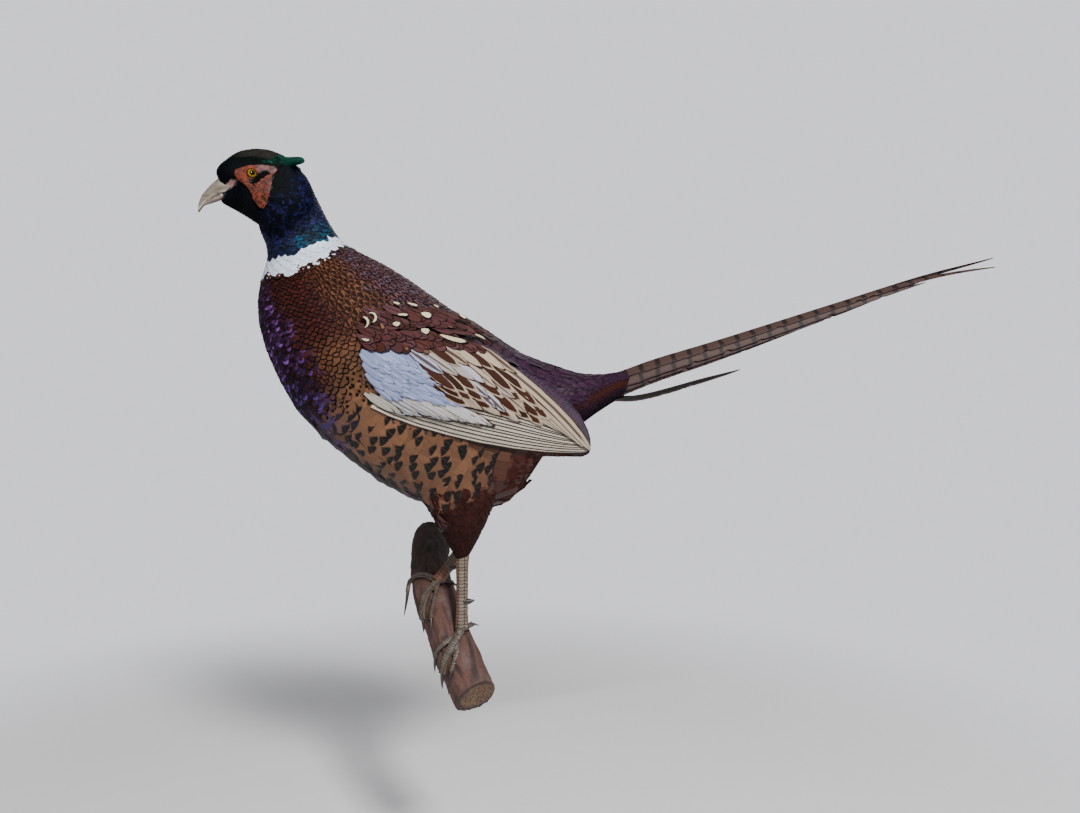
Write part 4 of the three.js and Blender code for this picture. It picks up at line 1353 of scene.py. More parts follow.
# Rows of the wing's large feathers, lowest first: kind, count, first and last root, first and
# last tip, and height of root and tip.
WING_ROWS = [
    ("quill", 12, (-25, 142), (24, 157), (158, 103), (151, 118), (0.8, 0.9)),
    ("tertial", 7, (42, 157), (55, 194), (122, 129), (158, 104), (2.2, 2.5)),
    ("great_covert", 18, (-30, 153), (39, 145), (-3, 137), (77, 124), (1.4, 2.6)),
    ("covert", 22, (-24, 162), (30, 156), (-8, 149), (51, 143), (1.3, 2.6)),
    ("covert", 20, (-28, 170), (22, 164), (-11, 157), (42, 151), (1.3, 2.7)),
    ("covert", 18, (-32, 177), (13, 171), (-15, 164), (33, 159), (1.3, 2.8)),
    ("covert", 16, (-33, 184), (6, 179), (-17, 171), (26, 166), (1.3, 2.9)),
    ("covert", 14, (-32, 189), (3, 187), (-16, 176), (21, 173), (1.3, 3.0)),
    ("tertial_covert", 8, (26, 162), (88, 147), (58, 142), (119, 127), (2.6, 3.5)),
    ("tertial_covert", 9, (20, 170), (92, 155), (51, 148), (124, 131), (2.8, 3.7)),
    ("tertial_covert", 8, (14, 178), (82, 167), (45, 156), (114, 144), (2.9, 3.9)),
    ("tertial_covert", 7, (8, 186), (72, 178), (38, 165), (104, 156), (3.0, 4.1)),
    ("tertial_covert", 6, (20, 192), (62, 189), (48, 174), (93, 168), (3.2, 4.3)),
    ("scapular", 18, (-33, 195), (52, 196), (-18, 187), (68, 188), (2.2, 4.1)),
    ("scapular", 18, (-35, 202), (48, 205), (-18, 194), (65, 196), (2.2, 4.1)),
    ("scapular", 16, (-36, 209), (42, 213), (-19, 201), (59, 205), (2.0, 4.0)),
    ("scapular", 14, (-36, 216), (34, 221), (-20, 208), (51, 213), (1.6, 3.6)),
    ("scapular", 10, (-34, 223), (18, 227), (-18, 215), (35, 220), (1.0, 2.6)),
]
# Each kind's width, what each feather adds to the height of the one before, and jitter.
WING_KINDS = {
    "quill": (8, 0.06, 0.5), "tertial": (9, 0.15, 0.5), "great_covert": (7, 0.03, 1.0),
    "covert": (6, 0.02, 1.9), "tertial_covert": (8.5, 0.04, 1.9), "scapular": (8, 0.02, 1.9),
}
# How far the first and last long feather bow up, as a share of their length.
BOWS = {"quill": (-0.045, 0.03), "tertial": (0.03, 0.05)}
# The part of the wing's side that the long feathers' common face is fitted to.
WING_FACE = [
    (-26, 150), (-20, 184), (55, 190), (95, 168), (120, 147), (142, 126), (150, 110), (85, 112),
    (-5, 138),
]
# Spots over the scapulars: x, z, length, width, and slope and curl in degrees. All are cream but
# for the ones whose numbers stand in GOLD_SPOTS.
SPOTS = [
    (13, 218, 9.5, 5.2, -8, 0), (-8, 209, 7, 4.4, -25, 0), (-5, 217, 8.5, 2.2, -3, 0),
    (16, 203, 7, 5, -20, 0), (31, 199, 24, 3.6, -25, 20), (57, 200, 9, 3.4, -10, 0),
    (43, 218, 7, 4, -32, 0), (-10, 227, 6, 2, -10, 0), (1, 227, 10, 2, -8, 0),
    (21, 226, 5.5, 2, -20, 0), (-18, 209, 6.5, 2.4, -62, 0), (-32, 197, 8.5, 2, -25, 0),
    (19, 186, 5, 2.8, -10, 0), (4, 188, 3.5, 2.6, 0, 0), (35, 206, 6, 2.2, -25, 0),
    (-30, 206, 13, 1.8, 25, 150), (-28, 218, 15, 1.8, 35, -190),
]
GOLD_SPOTS = (10, 12, 13, 14)


def under_wing(name, rng):
    surface = form("coat")
    _, _, gap, points, lie = rooted(chart(f"wing_{name}"), surface, 2.0, 0.0, 0.97, 60, 1.8, rng)
    size_ = np.clip(gap, 2.5, 6)
    made = lay_vanes(
        surface, points, lie, size_ * 4 * MM, size_ * 2.5 * MM, SMALL, 3, (-1.5, 0.0), camber=0.2
    )
    return made, SMALL, wing_marks(points[:, 0] / MM, points[:, 2] / MM, rng), points


def row_ends(row, rng):
    """Roots and tips of a row's feathers, as x and z."""
    kind, count, root_a, root_b, tip_a, tip_b, _ = row
    share = np.linspace(0, 1, count)
    jitter = rng.uniform(-1, 1, (count, 2)) * WING_KINDS[kind][2]
    root = np.outer(1 - share, root_a) + np.outer(share, root_b) + jitter
    return root, np.outer(1 - share, tip_a) + np.outer(share, tip_b) + jitter * 1.4


def short_row(row, sign, rng):
    """A row of short feathers, laid on the coat."""
    kind, count, rise = row[0], row[1], row[-1]
    width, climb, _ = WING_KINDS[kind]
    root, tip = row_ends(row, rng)
    start = on_wing(root[:, 0], root[:, 1], sign)
    ahead = np.stack([tip[:, 0] - root[:, 0], np.zeros(count), tip[:, 1] - root[:, 1]], 1)
    shape = ROUNDED if kind == "scapular" else LANCE
    made = lay_vanes(
        form("coat"), start, unit(ahead), np.linalg.norm(ahead, axis=1) * MM, width * MM, shape,
        7, rise, camber=0.35, fray=0.03, slack=3.0, lift=climb * np.arange(count),
    )
    return made, shape, row_marks(kind, count, rng), start


def side_face(sign):
    """A smooth face fitted to the wing's side, and nowhere inside it: gives y at any x and z."""
    powers = lambda x, z: np.stack([x**0, x, z, x * x, x * z, z * z], -1)
    x, z = [v.ravel() for v in np.meshgrid(np.linspace(-24, 150, 30), np.linspace(106, 190, 20))]
    within = inside(WING_FACE, x, z)
    x, z = x[within], z[within]
    y = on_wing(x, z, sign)[:, 1] / MM
    fit = np.linalg.lstsq(powers(x / 100, z / 100), y, rcond=None)[0]

    def face(x, z):
        true = form("coat").from_side(x.ravel() * MM, z.ravel() * MM, sign)[:, 1] / MM
        flat = powers(x / 100, z / 100) @ fit
        return sign * np.fmax(sign * flat, sign * true.reshape(x.shape))

    return face


def long_row(row, sign, rng):
    """A row of long feathers, each bowed in one smooth face from its root to its tip."""
    kind, count, rise = row[0], row[1], row[-1]
    width, climb, _ = WING_KINDS[kind]
    root, tip = row_ends(row, rng)
    share, wide = np.array(QUILL).T
    bow = np.interp(np.linspace(0, 1, count), [0, 1], BOWS[kind])[:, None] * 4
    ahead = tip - root
    over = ahead[:, ::-1] * [-1, 1]
    spine = root[:, None] + ahead[:, None] * share[:, None]
    spine = spine + over[:, None] * (bow * share * (1 - share))[..., None]
    lie = ahead[:, None] + over[:, None] * (bow * (1 - 2 * share))[..., None]
    lie /= np.linalg.norm(lie, axis=-1, keepdims=True)
    across = lie[..., ::-1] * [-1, 1] * -sign
    a = np.linspace(-1, 1, 7)
    place = spine[:, :, None] + across[:, :, None] * (a * wide[:, None] * width / 2)[..., None]
    x, z = place[..., 0], place[..., 1]
    # Each lies like a shingle, its lower edge on the one below.
    height = rise[0] + (rise[1] - rise[0]) * share[:, None] + 0.1 * (1 - a * a) + 0.6 * a * sign
    height = height + climb * np.arange(count)[:, None, None]
    made = np.stack([x, side_face(sign)(x, z) + sign * height, z], -1) * MM
    return made, QUILL, row_marks(kind, count, rng), made[:, 0, 3]


def on_wing(x, z, sign):
    start = form("coat").from_side(x * MM, z * MM, sign)
    if np.isnan(start).any():
        raise RuntimeError("a feather has no root on the wing")
    return start


def wing_spots(sign, rng):
    """Small pale feathers, rimmed in black, that lie here and there over the scapulars."""
    p = colours("plumage")
    x, z, length, width, slope, curl = np.array(SPOTS).T
    start = on_wing(x, z, sign)
    slope = np.radians(slope)
    lie = np.stack([np.cos(slope), 0 * slope, np.sin(slope)], 1)
    made = lay_vanes(
        form("coat"), start, lie, length * MM, width * 1.5 * MM, SPOT, 5, (4.5, 4.9), camber=0.4,
        slack=3.0, sweep=np.radians(curl) * -sign,
    )
    marks = plain_marks(p.cream, p.black, rng, len(x), 0.36, amount=0.15)
    base = np.tile(p.cream[:], (len(x), 1))
    base[list(GOLD_SPOTS)] = p.gold[:]
    marks["Base"] = base * rng.uniform(0.85, 1.1, (len(x), 1))
    return made, SPOT, marks, start


def row_marks(kind, count, rng):
    c, p = colours("wing"), colours("plumage")
    plain = lambda base, edge, mark, rim, amount: plain_marks(
        base, edge, rng, count, rim, mark, amount
    )
    if kind == "quill":
        made, streak = plain(c.quill, c.line, c.line, 0.3, 0.1), 0
    elif kind == "great_covert":
        made = plain(c.quill, c.line, c.line, 0.24, 0.12)
        made.over(rng.random(count) * 0.6, made.tone(c.covert_edge))
        streak = rng.choice([0, 0.05, 0.1], count)
    elif kind == "covert":
        made = plain(c.covert, c.covert, c.covert_edge, 0.14, 0.14)
        made["Edge"] *= rng.choice([0.6, 0.85, 1.15], (count, 1))
        streak = rng.choice([0, 0.1, 0.2], count)
    elif kind == "tertial":
        made = plain(c.buff, c.line, c.chocolate, 0.1, 0.14)
        streak = rng.uniform(0.15, 0.35, count)
    elif kind == "tertial_covert":
        made = plain(c.buff, c.chocolate, c.chocolate, 0.16, 0.14)
        pale = rng.choice([0.0, 0.3, 0.9], count) * np.linspace(1, 0.25, count)
        made.over(pale, made.tone(c.covert_edge, 0.15))
        # Every other feather or so is dark with a pale rim instead.
        dark = rng.random(count) < 0.45
        made.over(dark, made.tone(c.chocolate, 0.3), made.tone(c.buff, 0.15), 0.3)
        streak = np.where(dark, 0, rng.choice([0.0, 0.12, 0.3], count))
    else:
        made = plain(p.chestnut, p.black, p.black, 0.12, 0.3)
        made.over(rng.random(count) * 0.7, made.tone(p.mauve, 0.3))
        streak = rng.choice([0, 0.08, 0.16], count)
    made["Form"][:, 3] = streak
    return made


class PHEASANT_OT_wings(bpy.types.Operator):
    """Lay the folded wings' rows: quills, tertials, coverts and scapulars"""

    bl_idname = "pheasant.wings"
    bl_label = "Wings"

    def execute(self, context):
        rng = np.random.default_rng(15)
        under = [under_wing(name, rng) for name, _ in SIDES]
        finish = feather_material("short_wing_feathers")
        vane_mesh("wing_under_coat", under, finish, "covert_plumage")
        for name, sign in SIDES:
            batches = {"quills": [], "coverts": [], "scapulars": []}
            for row in WING_ROWS:
                if row[0] in BOWS:
                    batches["quills"].append(long_row(row, sign, rng))
                else:
                    key = "scapulars" if row[0] == "scapular" else "coverts"
                    batches[key].append(short_row(row, sign, rng))
            batches["scapulars"].append(wing_spots(sign, rng))
            for key, made in batches.items():
                kind = "quill" if key == "quills" else "covert"
                finish = feather_material(f"{kind}_feathers")
                vane_mesh(f"wing_{name}_{key}_coat", made, finish, f"{kind}_plumage", cells=True)
        return {"FINISHED"}


def horn_growth():
    """Growth lines and speckle of horn, along an axis of a piece's own coordinates."""
    name = "Horn Growth"
    if name in bpy.data.node_groups:
        return bpy.data.node_groups[name]
    w, given, out = group_tree(
        name, dict(Base="color", Dark="color", Place="vector", Scale="value"),
        dict(Color="color", Height="value"),
    )
    scaled = w.node("ShaderNodeVectorMath", operation="SCALE")
    w.put(scaled.inputs[0], given["Place"])
    w.put(scaled.inputs["Scale"], given["Scale"])
    along = w.texture("ShaderNodeMapping", scaled.outputs[0], dict(Scale=(0.35, 1.0, 1.6)))
    growth = w.noise(along, 1.0, 4.0, 0.6)
    speck = w.noise(scaled.outputs[0], 4.0, 3.0)
    colour = w.mix(w.times(w.step(growth, 0.42, 0.68), 0.55), given["Base"], given["Dark"])
    w.put(out["Color"], w.toned(colour, speck, 0.4, 0.8))
    w.put(out["Height"], w.linear(speck, 0.3, growth))
    return bpy.data.node_groups[name]


def horn_material(name, colour, roughness, scale=260.0, painted=False):
    material, w = new_material(name, Roughness=roughness, Coat_Weight=0.2)
    base = w.attribute("Base") if painted else colour[:]
    dark = tuple(0.4 * v for v in colour)
    made = w.group(horn_growth(), Base=base, Dark=dark, Place=w.place(), Scale=scale)
    w.surface(made["Color"], made["Height"], 0.3, 0.0004)
    return material


def bare_skin():
    if "bare_skin" in bpy.data.materials:
        return bpy.data.materials["bare_skin"]
    material, w = new_material(
        "bare_skin", Roughness=0.6, Specular_IOR_Level=0.25, Subsurface_Weight=0.12,
        Subsurface_Scale=0.002,
    )
    place = w.place()
    colour = w.toned(w.attribute("Base"), w.noise(place, 1600, 3), 0.5, 0.75)
    w.surface(colour, w.texture("ShaderNodeTexVoronoi", place, dict(Scale=1500)), 0.4, 0.0003)
    return material


FACE_LINE = [(-49.6, 330.4), (-46.6, 332.6), (-43.8, 335.6), (-41.2, 337.8), (-37.6, 339.4)]


def model_face(mesh, sign, rng):
    """Raises the papillae, folds and lid of one side's bare skin, and paints it."""
    set_coords(mesh, on_head(pinched(in_head(coords(mesh) / MM))) * MM)
    co, normals = coords(mesh), vertex_normals(mesh)
    x, _, z = in_head(co / MM).T
    outer = ease(normals @ head_direction(0, sign, 0.0), 0.1, 0.5)
    domes = np.array([noise.voronoi(Vector(p) * 760)[0][0] for p in co.tolist()])
    folds = noise_at(co, 260)
    lower = ease(z, 336, 330)
    height = outer * (0.1 + lower * 0.5) * np.maximum(0, 1 - 1.5 * domes) + outer * 0.25 * folds
    lid = np.hypot(x - EYE["x"], z - EYE["z"])
    height += 0.5 * ease(np.abs(lid - 5.0), 0.9, 0.2)
    set_coords(mesh, co + normals * (height * MM)[:, None])
    c, made = colours("head"), Marks(len(co), rng)
    made["Base"] = made.tone(c.red, 0.06)
    made.over(ease(z, 338, 340.5) * ease(x, -49, -43), made.tone(c.pink))
    # Painted shade darkens the skin between the raised papillae, most on the lower face.
    made["Base"] = made["Base"] * (1 - ease(domes, 0.35, 0.7) * (0.3 + 0.45 * lower))[:, None]
    made.over(ease(x, -37.5, -35) * ease(z, 335, 331) * 0.6, made.tone(c.pink))
    made.over(0.85 * ease(from_face_line(x, z), 2.8, 1.6), made.tone(c.cheek))
    # Painted shade also darkens the hollows of the folds.
    paint(mesh, "Base", made["Base"] * (0.55 + 0.8 * ease(folds, -0.4, 0.45))[:, None])


def from_face_line(x, z):
    """How far points are from the line of small feathers across the face."""
    best = np.full(len(x), np.inf)
    for (ax, az), (bx, bz) in zip(FACE_LINE, FACE_LINE[1:]):
        ux, uz = bx - ax, bz - az
        share = np.clip(((x - ax) * ux + (z - az) * uz) / (ux * ux + uz * uz), 0, 1)
        best = np.minimum(best, np.hypot(x - ax - share * ux, z - az - share * uz))
    return best


def face_line_vanes(skin, sign, rng):
    count = 190
    place = through(np.array([(a, 0, b) for a, b in FACE_LINE]), rng.random(count))
    place += rng.normal(0, 0.85, (count, 3)) * [1, 0, 1]
    place[:, 1] = sign * 19
    surface = Surface(skin)
    root = surface.nearest(on_head(place) * MM)[0]
    lie = unit(np.tile(head_direction(1, 0, -0.35), (count, 1)))
    made = lay_vanes(
        surface, root, lie, rng.uniform(1.8, 3.0, count) * MM, 1.0 * MM, SMALL, 3, (0.0, 0.45),
        camber=0.08, slack=0.8,
    )
    c = colours("head")
    marks = plain_marks(c.cheek, c.cheek, rng, count, 0.2, amount=0.3)
    return made, SMALL, marks, root


class PHEASANT_OT_face(bpy.types.Operator):
    """Model the bare red skin round each eye, with its papillae"""

    bl_idname = "pheasant.face"
    bl_label = "Bare face"

    def execute(self, context):
        rng = np.random.default_rng(16)
        feathers = []
        for name, sign in SIDES:
            skin = softened(copy_of([f"face_{name}"], f"bare_skin_{name}"), 0.45, 3)
            model_face(skin.data, sign, rng)
            settle(skin, bare_skin(), "facial_skin", f"face_{name}")
            feathers.append(face_line_vanes(skin, sign, rng))
        vane_mesh("face_line_coat", feathers, feather_material("head_feathers"), "head_plumage")
        return {"FINISHED"}


def glass_eye(name, sign):
    deselect()
    turned = (-sign * math.pi / 2, 0, 0)
    bpy.ops.mesh.primitive_uv_sphere_add(
        segments=40, ring_count=30, radius=EYE["radius"] * MM, location=(0, 0, 0), rotation=turned
    )
    ball = bpy.context.active_object
    ball.name = ball.data.name = f"glass_eye_{name}"
    bpy.ops.object.transform_apply(rotation=True)
    co = coords(ball.data) / MM
    # The cornea bulges a little over the iris.
    co[:, 1] += sign * 0.1 * ease(sign * co[:, 1], 3.4, 5.4)
    set_coords(ball.data, on_head(co + [EYE["x"], sign * EYE["side"], EYE["z"]]) * MM)
    # The pupil lies up and back of the eye's middle: a real pupil, set off centre so that it paints
    # the lid's shade over that part of the iris.
    radius = np.hypot(co[:, 0] - EYE["pupil"][0], co[:, 2] - EYE["pupil"][1])
    radius = np.where(sign * co[:, 1] < 0, 9.0, radius)
    layer = ball.data.attributes.new("Radius", "FLOAT", "POINT")
    layer.data.foreach_set("value", radius.astype(np.float32))
    bpy.ops.object.shade_smooth()
    settle(ball, amber_glass(), "glass_eye", f"eye_{name}")


def eyelid(name, sign):
    deselect()
    bpy.ops.mesh.primitive_torus_add(
        major_segments=56, minor_segments=12, major_radius=4.25 * MM, minor_radius=0.62 * MM,
        rotation=(math.pi / 2, 0, 0),
    )
    lid = bpy.context.active_object
    lid.name = lid.data.name = f"eyelid_{name}"
    bpy.ops.object.transform_apply(rotation=True)
    co = coords(lid.data) / MM
    angle = np.arctan2(co[:, 2], co[:, 0])
    co *= (1 + 0.05 * np.sin(angle * 26) * 0.35)[:, None]
    co[:, 0] *= 1.08
    co[:, 2] *= 0.94
    # The front and back corners of the lids lie a little deeper.
    co[:, 1] -= sign * 0.5 * np.abs(np.cos(angle)) ** 4
    set_coords(lid.data, on_head(co + [EYE["x"], sign * (EYE["side"] + 3.75), EYE["z"]]) * MM)
    tone = spread(colours("head").red, len(co), np.random.default_rng(4), 0.1) * 0.4
    paint(lid.data, "Base", tone)
    bpy.ops.object.shade_smooth()
    settle(lid, bare_skin(), "facial_skin")


def amber_glass():
    if "amber_glass" in bpy.data.materials:
        return bpy.data.materials["amber_glass"]
    material, w = new_material("amber_glass", Roughness=0.1, Specular_IOR_Level=0.2)
    radius, ring = w.attribute("Radius", "Fac"), colours("head").iris
    rays = w.noise(w.place(), 2600, 2)
    iris = w.mix(w.step(rays, 0.35, 0.7), ring[:], tuple(0.45 * v for v in ring))
    iris = w.mix(w.step(radius, 3.1, 3.8), iris, (0.06, 0.025, 0.008, 1))
    colour = w.mix(w.step(radius, 2.25, 2.1), iris, (0.002, 0.002, 0.002, 1))
    w.put(w.shader["Base Color"], colour)
    return material


class PHEASANT_OT_eyes(bpy.types.Operator):
    """Set the glass eyes in their lids"""

    bl_idname = "pheasant.eyes"
    bl_label = "Eyes"

    def execute(self, context):
        for name, sign in SIDES:
            glass_eye(name, sign)
            eyelid(name, sign)
        return {"FINISHED"}


def upper_bill(co, normals, made):
    """Shapes and colours the upper half; gives its new vertices."""
    c = colours("head")
    x, side, z = in_head(co / MM).T
    # The nostril opens under a small flap near the bill's root.
    nostril = ((x + 69.6) / 2.3) ** 2 + ((z - 330.0 - 0.35 * (x + 69.6)) / 0.8) ** 2
    hole = ease(nostril, 1.3, 0.5) * (np.abs(side) > 2)
    flap = ease(np.abs(np.sqrt(nostril) - 1.7), 0.6, 0.1) * (z > 330.2) * (np.abs(side) > 2)
    made.over(hole, made.tone(c.cheek))
    edge = np.interp(x, [-91, -84, -76, -69, -62], [305.5, 311, 317, 321.3, 324.6])
    made.over(ease(z - edge, 4.5, 1.5) * 0.75, made.tone((0.52, 0.46, 0.38)))
    made.over(ease(z - edge, 1.1, 0.3), made.tone(c.horn_low) * 0.55)
    made.over(ease(x, -70, -64) * 0.5, made.tone(c.horn_low) * 0.6)
    # The biting edge rises, and the ridge a little, so that the bill is slim.
    top = np.interp(x, [-91, -87.7, -82, -75, -66], [309, 317.6, 326.1, 332.3, 336])
    low = ease((top - z) / (top - edge), 0, 1)
    ridge_rise = np.interp(x, [-91, -88, -82, -75, -66], [0.6, 1.2, 1.2, 0.4, 0])
    places = [-91, -88.3, -84, -78.4, -73.2, -66.4, -62]
    edge_rise = np.interp(x, places, [0, 1.5, 3.2, 2.8, 2.4, 1.4, 0.5])
    co = co + normals * ((0.45 * flap - 1.1 * hole) * MM)[:, None]
    co[:, 2] += (ridge_rise * (1 - low) + edge_rise * low) * MM
    return co


def lower_bill(co, normals, made):
    """The same for the lower half, whose upper rim rises inside the upper one."""
    c = colours("head")
    x = in_head(co / MM)[:, 0]
    made.over(np.full(made.count, 0.4), made.tone(c.horn_low))
    made["Base"] = made["Base"] * 1.25
    rise = ease(normals[:, 2], 0.1, 0.6) * ease(x, -90, -84)
    co = co + np.outer(ease(x, -70, -85) * 4.0 * MM, head_direction(-1.0, 0, 0))
    co[:, 2] += (rise * 1.9 + np.interp(x, [-85, -78, -71, -62], [1.8, 2.6, 4.2, 4.0])) * MM
    # Its upper rim, tucked under the upper half, is painted near black: painted shade in the gap
    # between the halves.
    made.over(rise * 0.9, made.tone(c.cheek))
    return co


def extend_root(bill):
    """Draws the bill's cut root back under the feathers of the face."""
    back = Vector(head_direction(1.0, 0, 0))
    choose(bill)
    bpy.ops.object.mode_set(mode="EDIT")
    bpy.ops.mesh.select_mode(type="FACE")
    bpy.ops.mesh.select_all(action="DESELECT")
    bpy.ops.object.mode_set(mode="OBJECT")
    for polygon in bill.data.polygons:
        behind = in_head(np.array([polygon.center]) / MM)[0, 0] > -78
        polygon.select = bool(behind) and polygon.normal.dot(back) > 0.8
    bpy.ops.object.mode_set(mode="EDIT")
    bpy.ops.mesh.extrude_region_move(TRANSFORM_OT_translate={"value": back * 10 * MM})
    bpy.ops.transform.resize(value=(1.15, 1.15, 1.0))
    bpy.ops.object.mode_set(mode="OBJECT")


class PHEASANT_OT_bill(bpy.types.Operator):
    """Model the two halves of the bill, with the nostrils and worn edges"""

    bl_idname = "pheasant.bill"
    bl_label = "Bill"

    def execute(self, context):
        rng = np.random.default_rng(17)
        material = horn_material("bill_horn", colours("head").horn, 0.42, painted=True)
        for half, shape in (("upper", upper_bill), ("lower", lower_bill)):
            bill = copy_of([f"bill_{half}"], f"bill_horn_{half}")
            extend_root(bill)
            softened(bill, 0.42, 4)
            mesh = bill.data
            co, normals = coords(mesh), vertex_normals(mesh)
            co = co + normals * 0.42 * MM
            made = Marks(len(co), rng)
            made["Base"] = made.tone(colours("head").horn, 0.04)
            set_coords(mesh, shape(co, normals, made))
            paint(mesh, "Base", made["Base"])
            settle(bill, material, "bill_horn", f"bill_{half}")
        return {"FINISHED"}


# ---- the tail ----

TAIL_RIDGE = [
    (150, 164), (185, 173.5), (221, 185.8), (275, 202), (338, 221.8), (387, 237.3), (465, 262),
    (531, 279),
]
TAIL_ROOT_X = 166
TAIL_LENGTH = 365
TAIL_ROOF = [(0, 0), (4.5, -4), (8, -11), (10, -20), (10.5, -30)]
TAIL_DROOP = {"left": 9, "right": 0}
# Each pair's tip, distance from the ridge, width and share of it that lies inside the shaft.
TAIL_PAIRS = {
    "central": (531, 0, 12.5, 0.15),
    "second": (466, 5.5, 15, 0.4),
    "third": (420, 9, 15, 0.4),
    "fourth": (366, 12.5, 14, 0.4),
}
OUTER_TAIL = [(158, 156), (190, 152), (215, 155), (262, 168), (296, 177)]
OUTER_PAIR = (296, 0.5, 7.5, 0.3)
# Places across a vane, from its inner rim over the shaft at 0.5 to its outer rim.
TAIL_COLUMNS = np.array([0, 0.25, 0.55, 0.8, 0.95, 1.0, 1.05, 1.2, 1.45, 1.7, 1.88, 2.0]) / 2


def line_height(points, x):
    """The height of a smooth line of (x, z) points over x."""
    line = through(points, np.linspace(0, 1, 400))
    return np.interp(x, line[:, 0], line[:, 1])


def walk(line):
    """How far each point of a line lies along it."""
    return np.concatenate([[0], np.cumsum(np.linalg.norm(np.diff(line, axis=0), axis=1))])


def roof_place(reach):
    """Points and directions down the tail's roof-shaped section, at distances from its ridge."""
    line = through(TAIL_ROOF, np.linspace(0, 1, 300))
    walked = walk(line)
    reach = np.clip(reach, 0, walked[-1])
    point = np.stack([np.interp(reach, walked, line[:, k]) for k in (0, 1)], -1)
    along = np.gradient(line, axis=0)
    return point, unit(np.stack([np.interp(reach, walked, along[:, k]) for k in (0, 1)], -1))


TAIL_STEPS = 90


def tail_feather(pair, name, sign, sizes, layer, rng, material):
    tip, start, width, shaft_share = sizes
    root = OUTER_TAIL[0][0] if pair == "outer" else TAIL_ROOT_X
    t = np.linspace(0, 1, TAIL_STEPS)
    x = root + (tip - root) * t
    if pair == "outer":
        narrow, ridge = 1 + 0 * t, line_height(OUTER_TAIL, x)
        taper = np.maximum((1 - t**4) ** 0.7, 0.1)
        shaft = start + width * shaft_share + 0 * t
    else:
        far = np.clip((x - 190) / 280, 0, 1)
        narrow = 1 - 0.45 * far**0.8
        taper = np.maximum((1 - t**5) ** 0.7, 0.05) * (0.35 + 0.65 * np.minimum(1, t / 0.12))
        shaft = (start + width * shaft_share) * narrow
        droop = TAIL_DROOP[name] * ((x - TAIL_ROOT_X) / TAIL_LENGTH) ** 7
        ridge = line_height(TAIL_RIDGE, x) - droop
    wide = width * narrow * taper
    # Barbs part here and there along both rims.
    rims = 1 - 0.05 * rng.random((TAIL_STEPS, 2))
    for side in (0, 1):
        for notch in rng.integers(8, TAIL_STEPS - 4, 5):
            rims[notch, side] -= rng.uniform(0.15, 0.4)
    points = np.empty((TAIL_STEPS, len(TAIL_COLUMNS), 3))
    for k, share in enumerate(TAIL_COLUMNS):
        from_shaft = (share - 0.5) * 2
        inner = from_shaft < 0
        part = wide * (shaft_share if inner else 1 - shaft_share)
        edge = rims[:, 0] if inner else rims[:, 1]
        reach = shaft + from_shaft * part * np.where(abs(from_shaft) > 0.8, edge, 1)
        place, along = roof_place(np.maximum(reach, 0))
        ridge_line = 0.55 * (1 - 0.7 * t) * (abs(from_shaft) < 0.06)
        inward = layer * 1.5 - ridge_line + 0.25 * abs(from_shaft)
        y = place[:, 0] + along[:, 1] * inward
        z = place[:, 1] - along[:, 0] * inward
        points[:, k] = np.stack([x, middle_y(x) + sign * (0.7 + np.maximum(y, 0)), ridge + z], 1)
    if sign > 0:
        points = points[:, ::-1]
    c = colours("wing")
    marks = plain_marks(c.tail, c.tail_rim, rng, 1)
    if pair == "outer":
        marks = plain_marks(c.tail_bar, c.tail_rim, rng, 1)
    made = (points[None] * MM, [(v, 1) for v in t], marks, points[:1, 0] * MM)
    vane = vane_mesh(
        f"tail_vane_{pair}_{name}", [made], material, "tail_plumage", f"tail_{pair}_{name}",
        cells=True,
    )
    apply_modifier(vane, "SOLIDIFY", thickness=0.45 * MM, offset=0)


def tail_finish():
    material, w = new_material("tail_feathers", Roughness=0.55, Specular_IOR_Level=0.2)
    dark = colours("wing").tail_bar[:]
    u = w.split(w.node("ShaderNodeUVMap", uv_map="Vane").outputs[0])[0]
    place = w.place()
    x = w.split(place)[0]
    across = w.math("ABSOLUTE", w.linear(u, 2.0, -1.0))
    bar = w.plus(w.times(x, 433.0), w.times(across, -1.1))
    bar = w.math("SINE", w.plus(bar, w.times(w.noise(place, 160, 3), 1.6)))
    bars = w.times(w.step(bar, 0.45, 0.85), w.step(across, 1.0, 0.75))
    barbs = w.join(w.times(across, 4.0), w.linear(across, -6.0, w.times(x, 1600.0)), 0.0)
    fine = w.noise(barbs, 1.0, 2.0)
    rim = w.times(w.step(across, 0.45, 0.95), 0.75)
    colour = w.mix(rim, w.attribute("Base"), w.attribute("Edge"))
    colour = w.mix(w.times(bars, 0.9), colour, dark)
    colour = w.mix(w.times(w.step(across, 0.09, 0.05), 0.5), colour, dark)
    w.surface(w.toned(colour, fine, 0.7, 0.65), fine, 0.4, 0.0004)
    return material


class PHEASANT_OT_tail(bpy.types.Operator):
    """Model the barred tail feathers, pair under pair"""

    bl_idname = "pheasant.tail"
    bl_label = "Tail"

    def execute(self, context):
        material = tail_finish()
        rng = np.random.default_rng(18)
        for name, sign in SIDES:
            for layer, (pair, sizes) in enumerate(TAIL_PAIRS.items()):
                tail_feather(pair, name, sign, sizes, layer, rng, material)
            tail_feather("outer", name, sign, OUTER_PAIR, 0, rng, material)
        return {"FINISHED"}


# ---- legs, claws and branch ----

BRANCH = [
    (0.6, 14, 5, 20.5), (0, 0, 0, 20), (5, -45, -19, 18.8), (16, -92, -40, 18.4),
    (30, -118, -61, 18.4), (45, -136, -84, 18.8), (59, -151, -110, 19.4), (69, -162, -130, 19.4),
]
SAWN_AT = np.array([58.5, -151, -110])
SAWN_FACING = unit(np.array([0.45, -0.66, -0.6]))
BARK_AXIS = unit(np.array([0.3, -0.72, -0.62]))
ANKLE_HEIGHT = 5.2
SHANK_RADIUS = 5.2
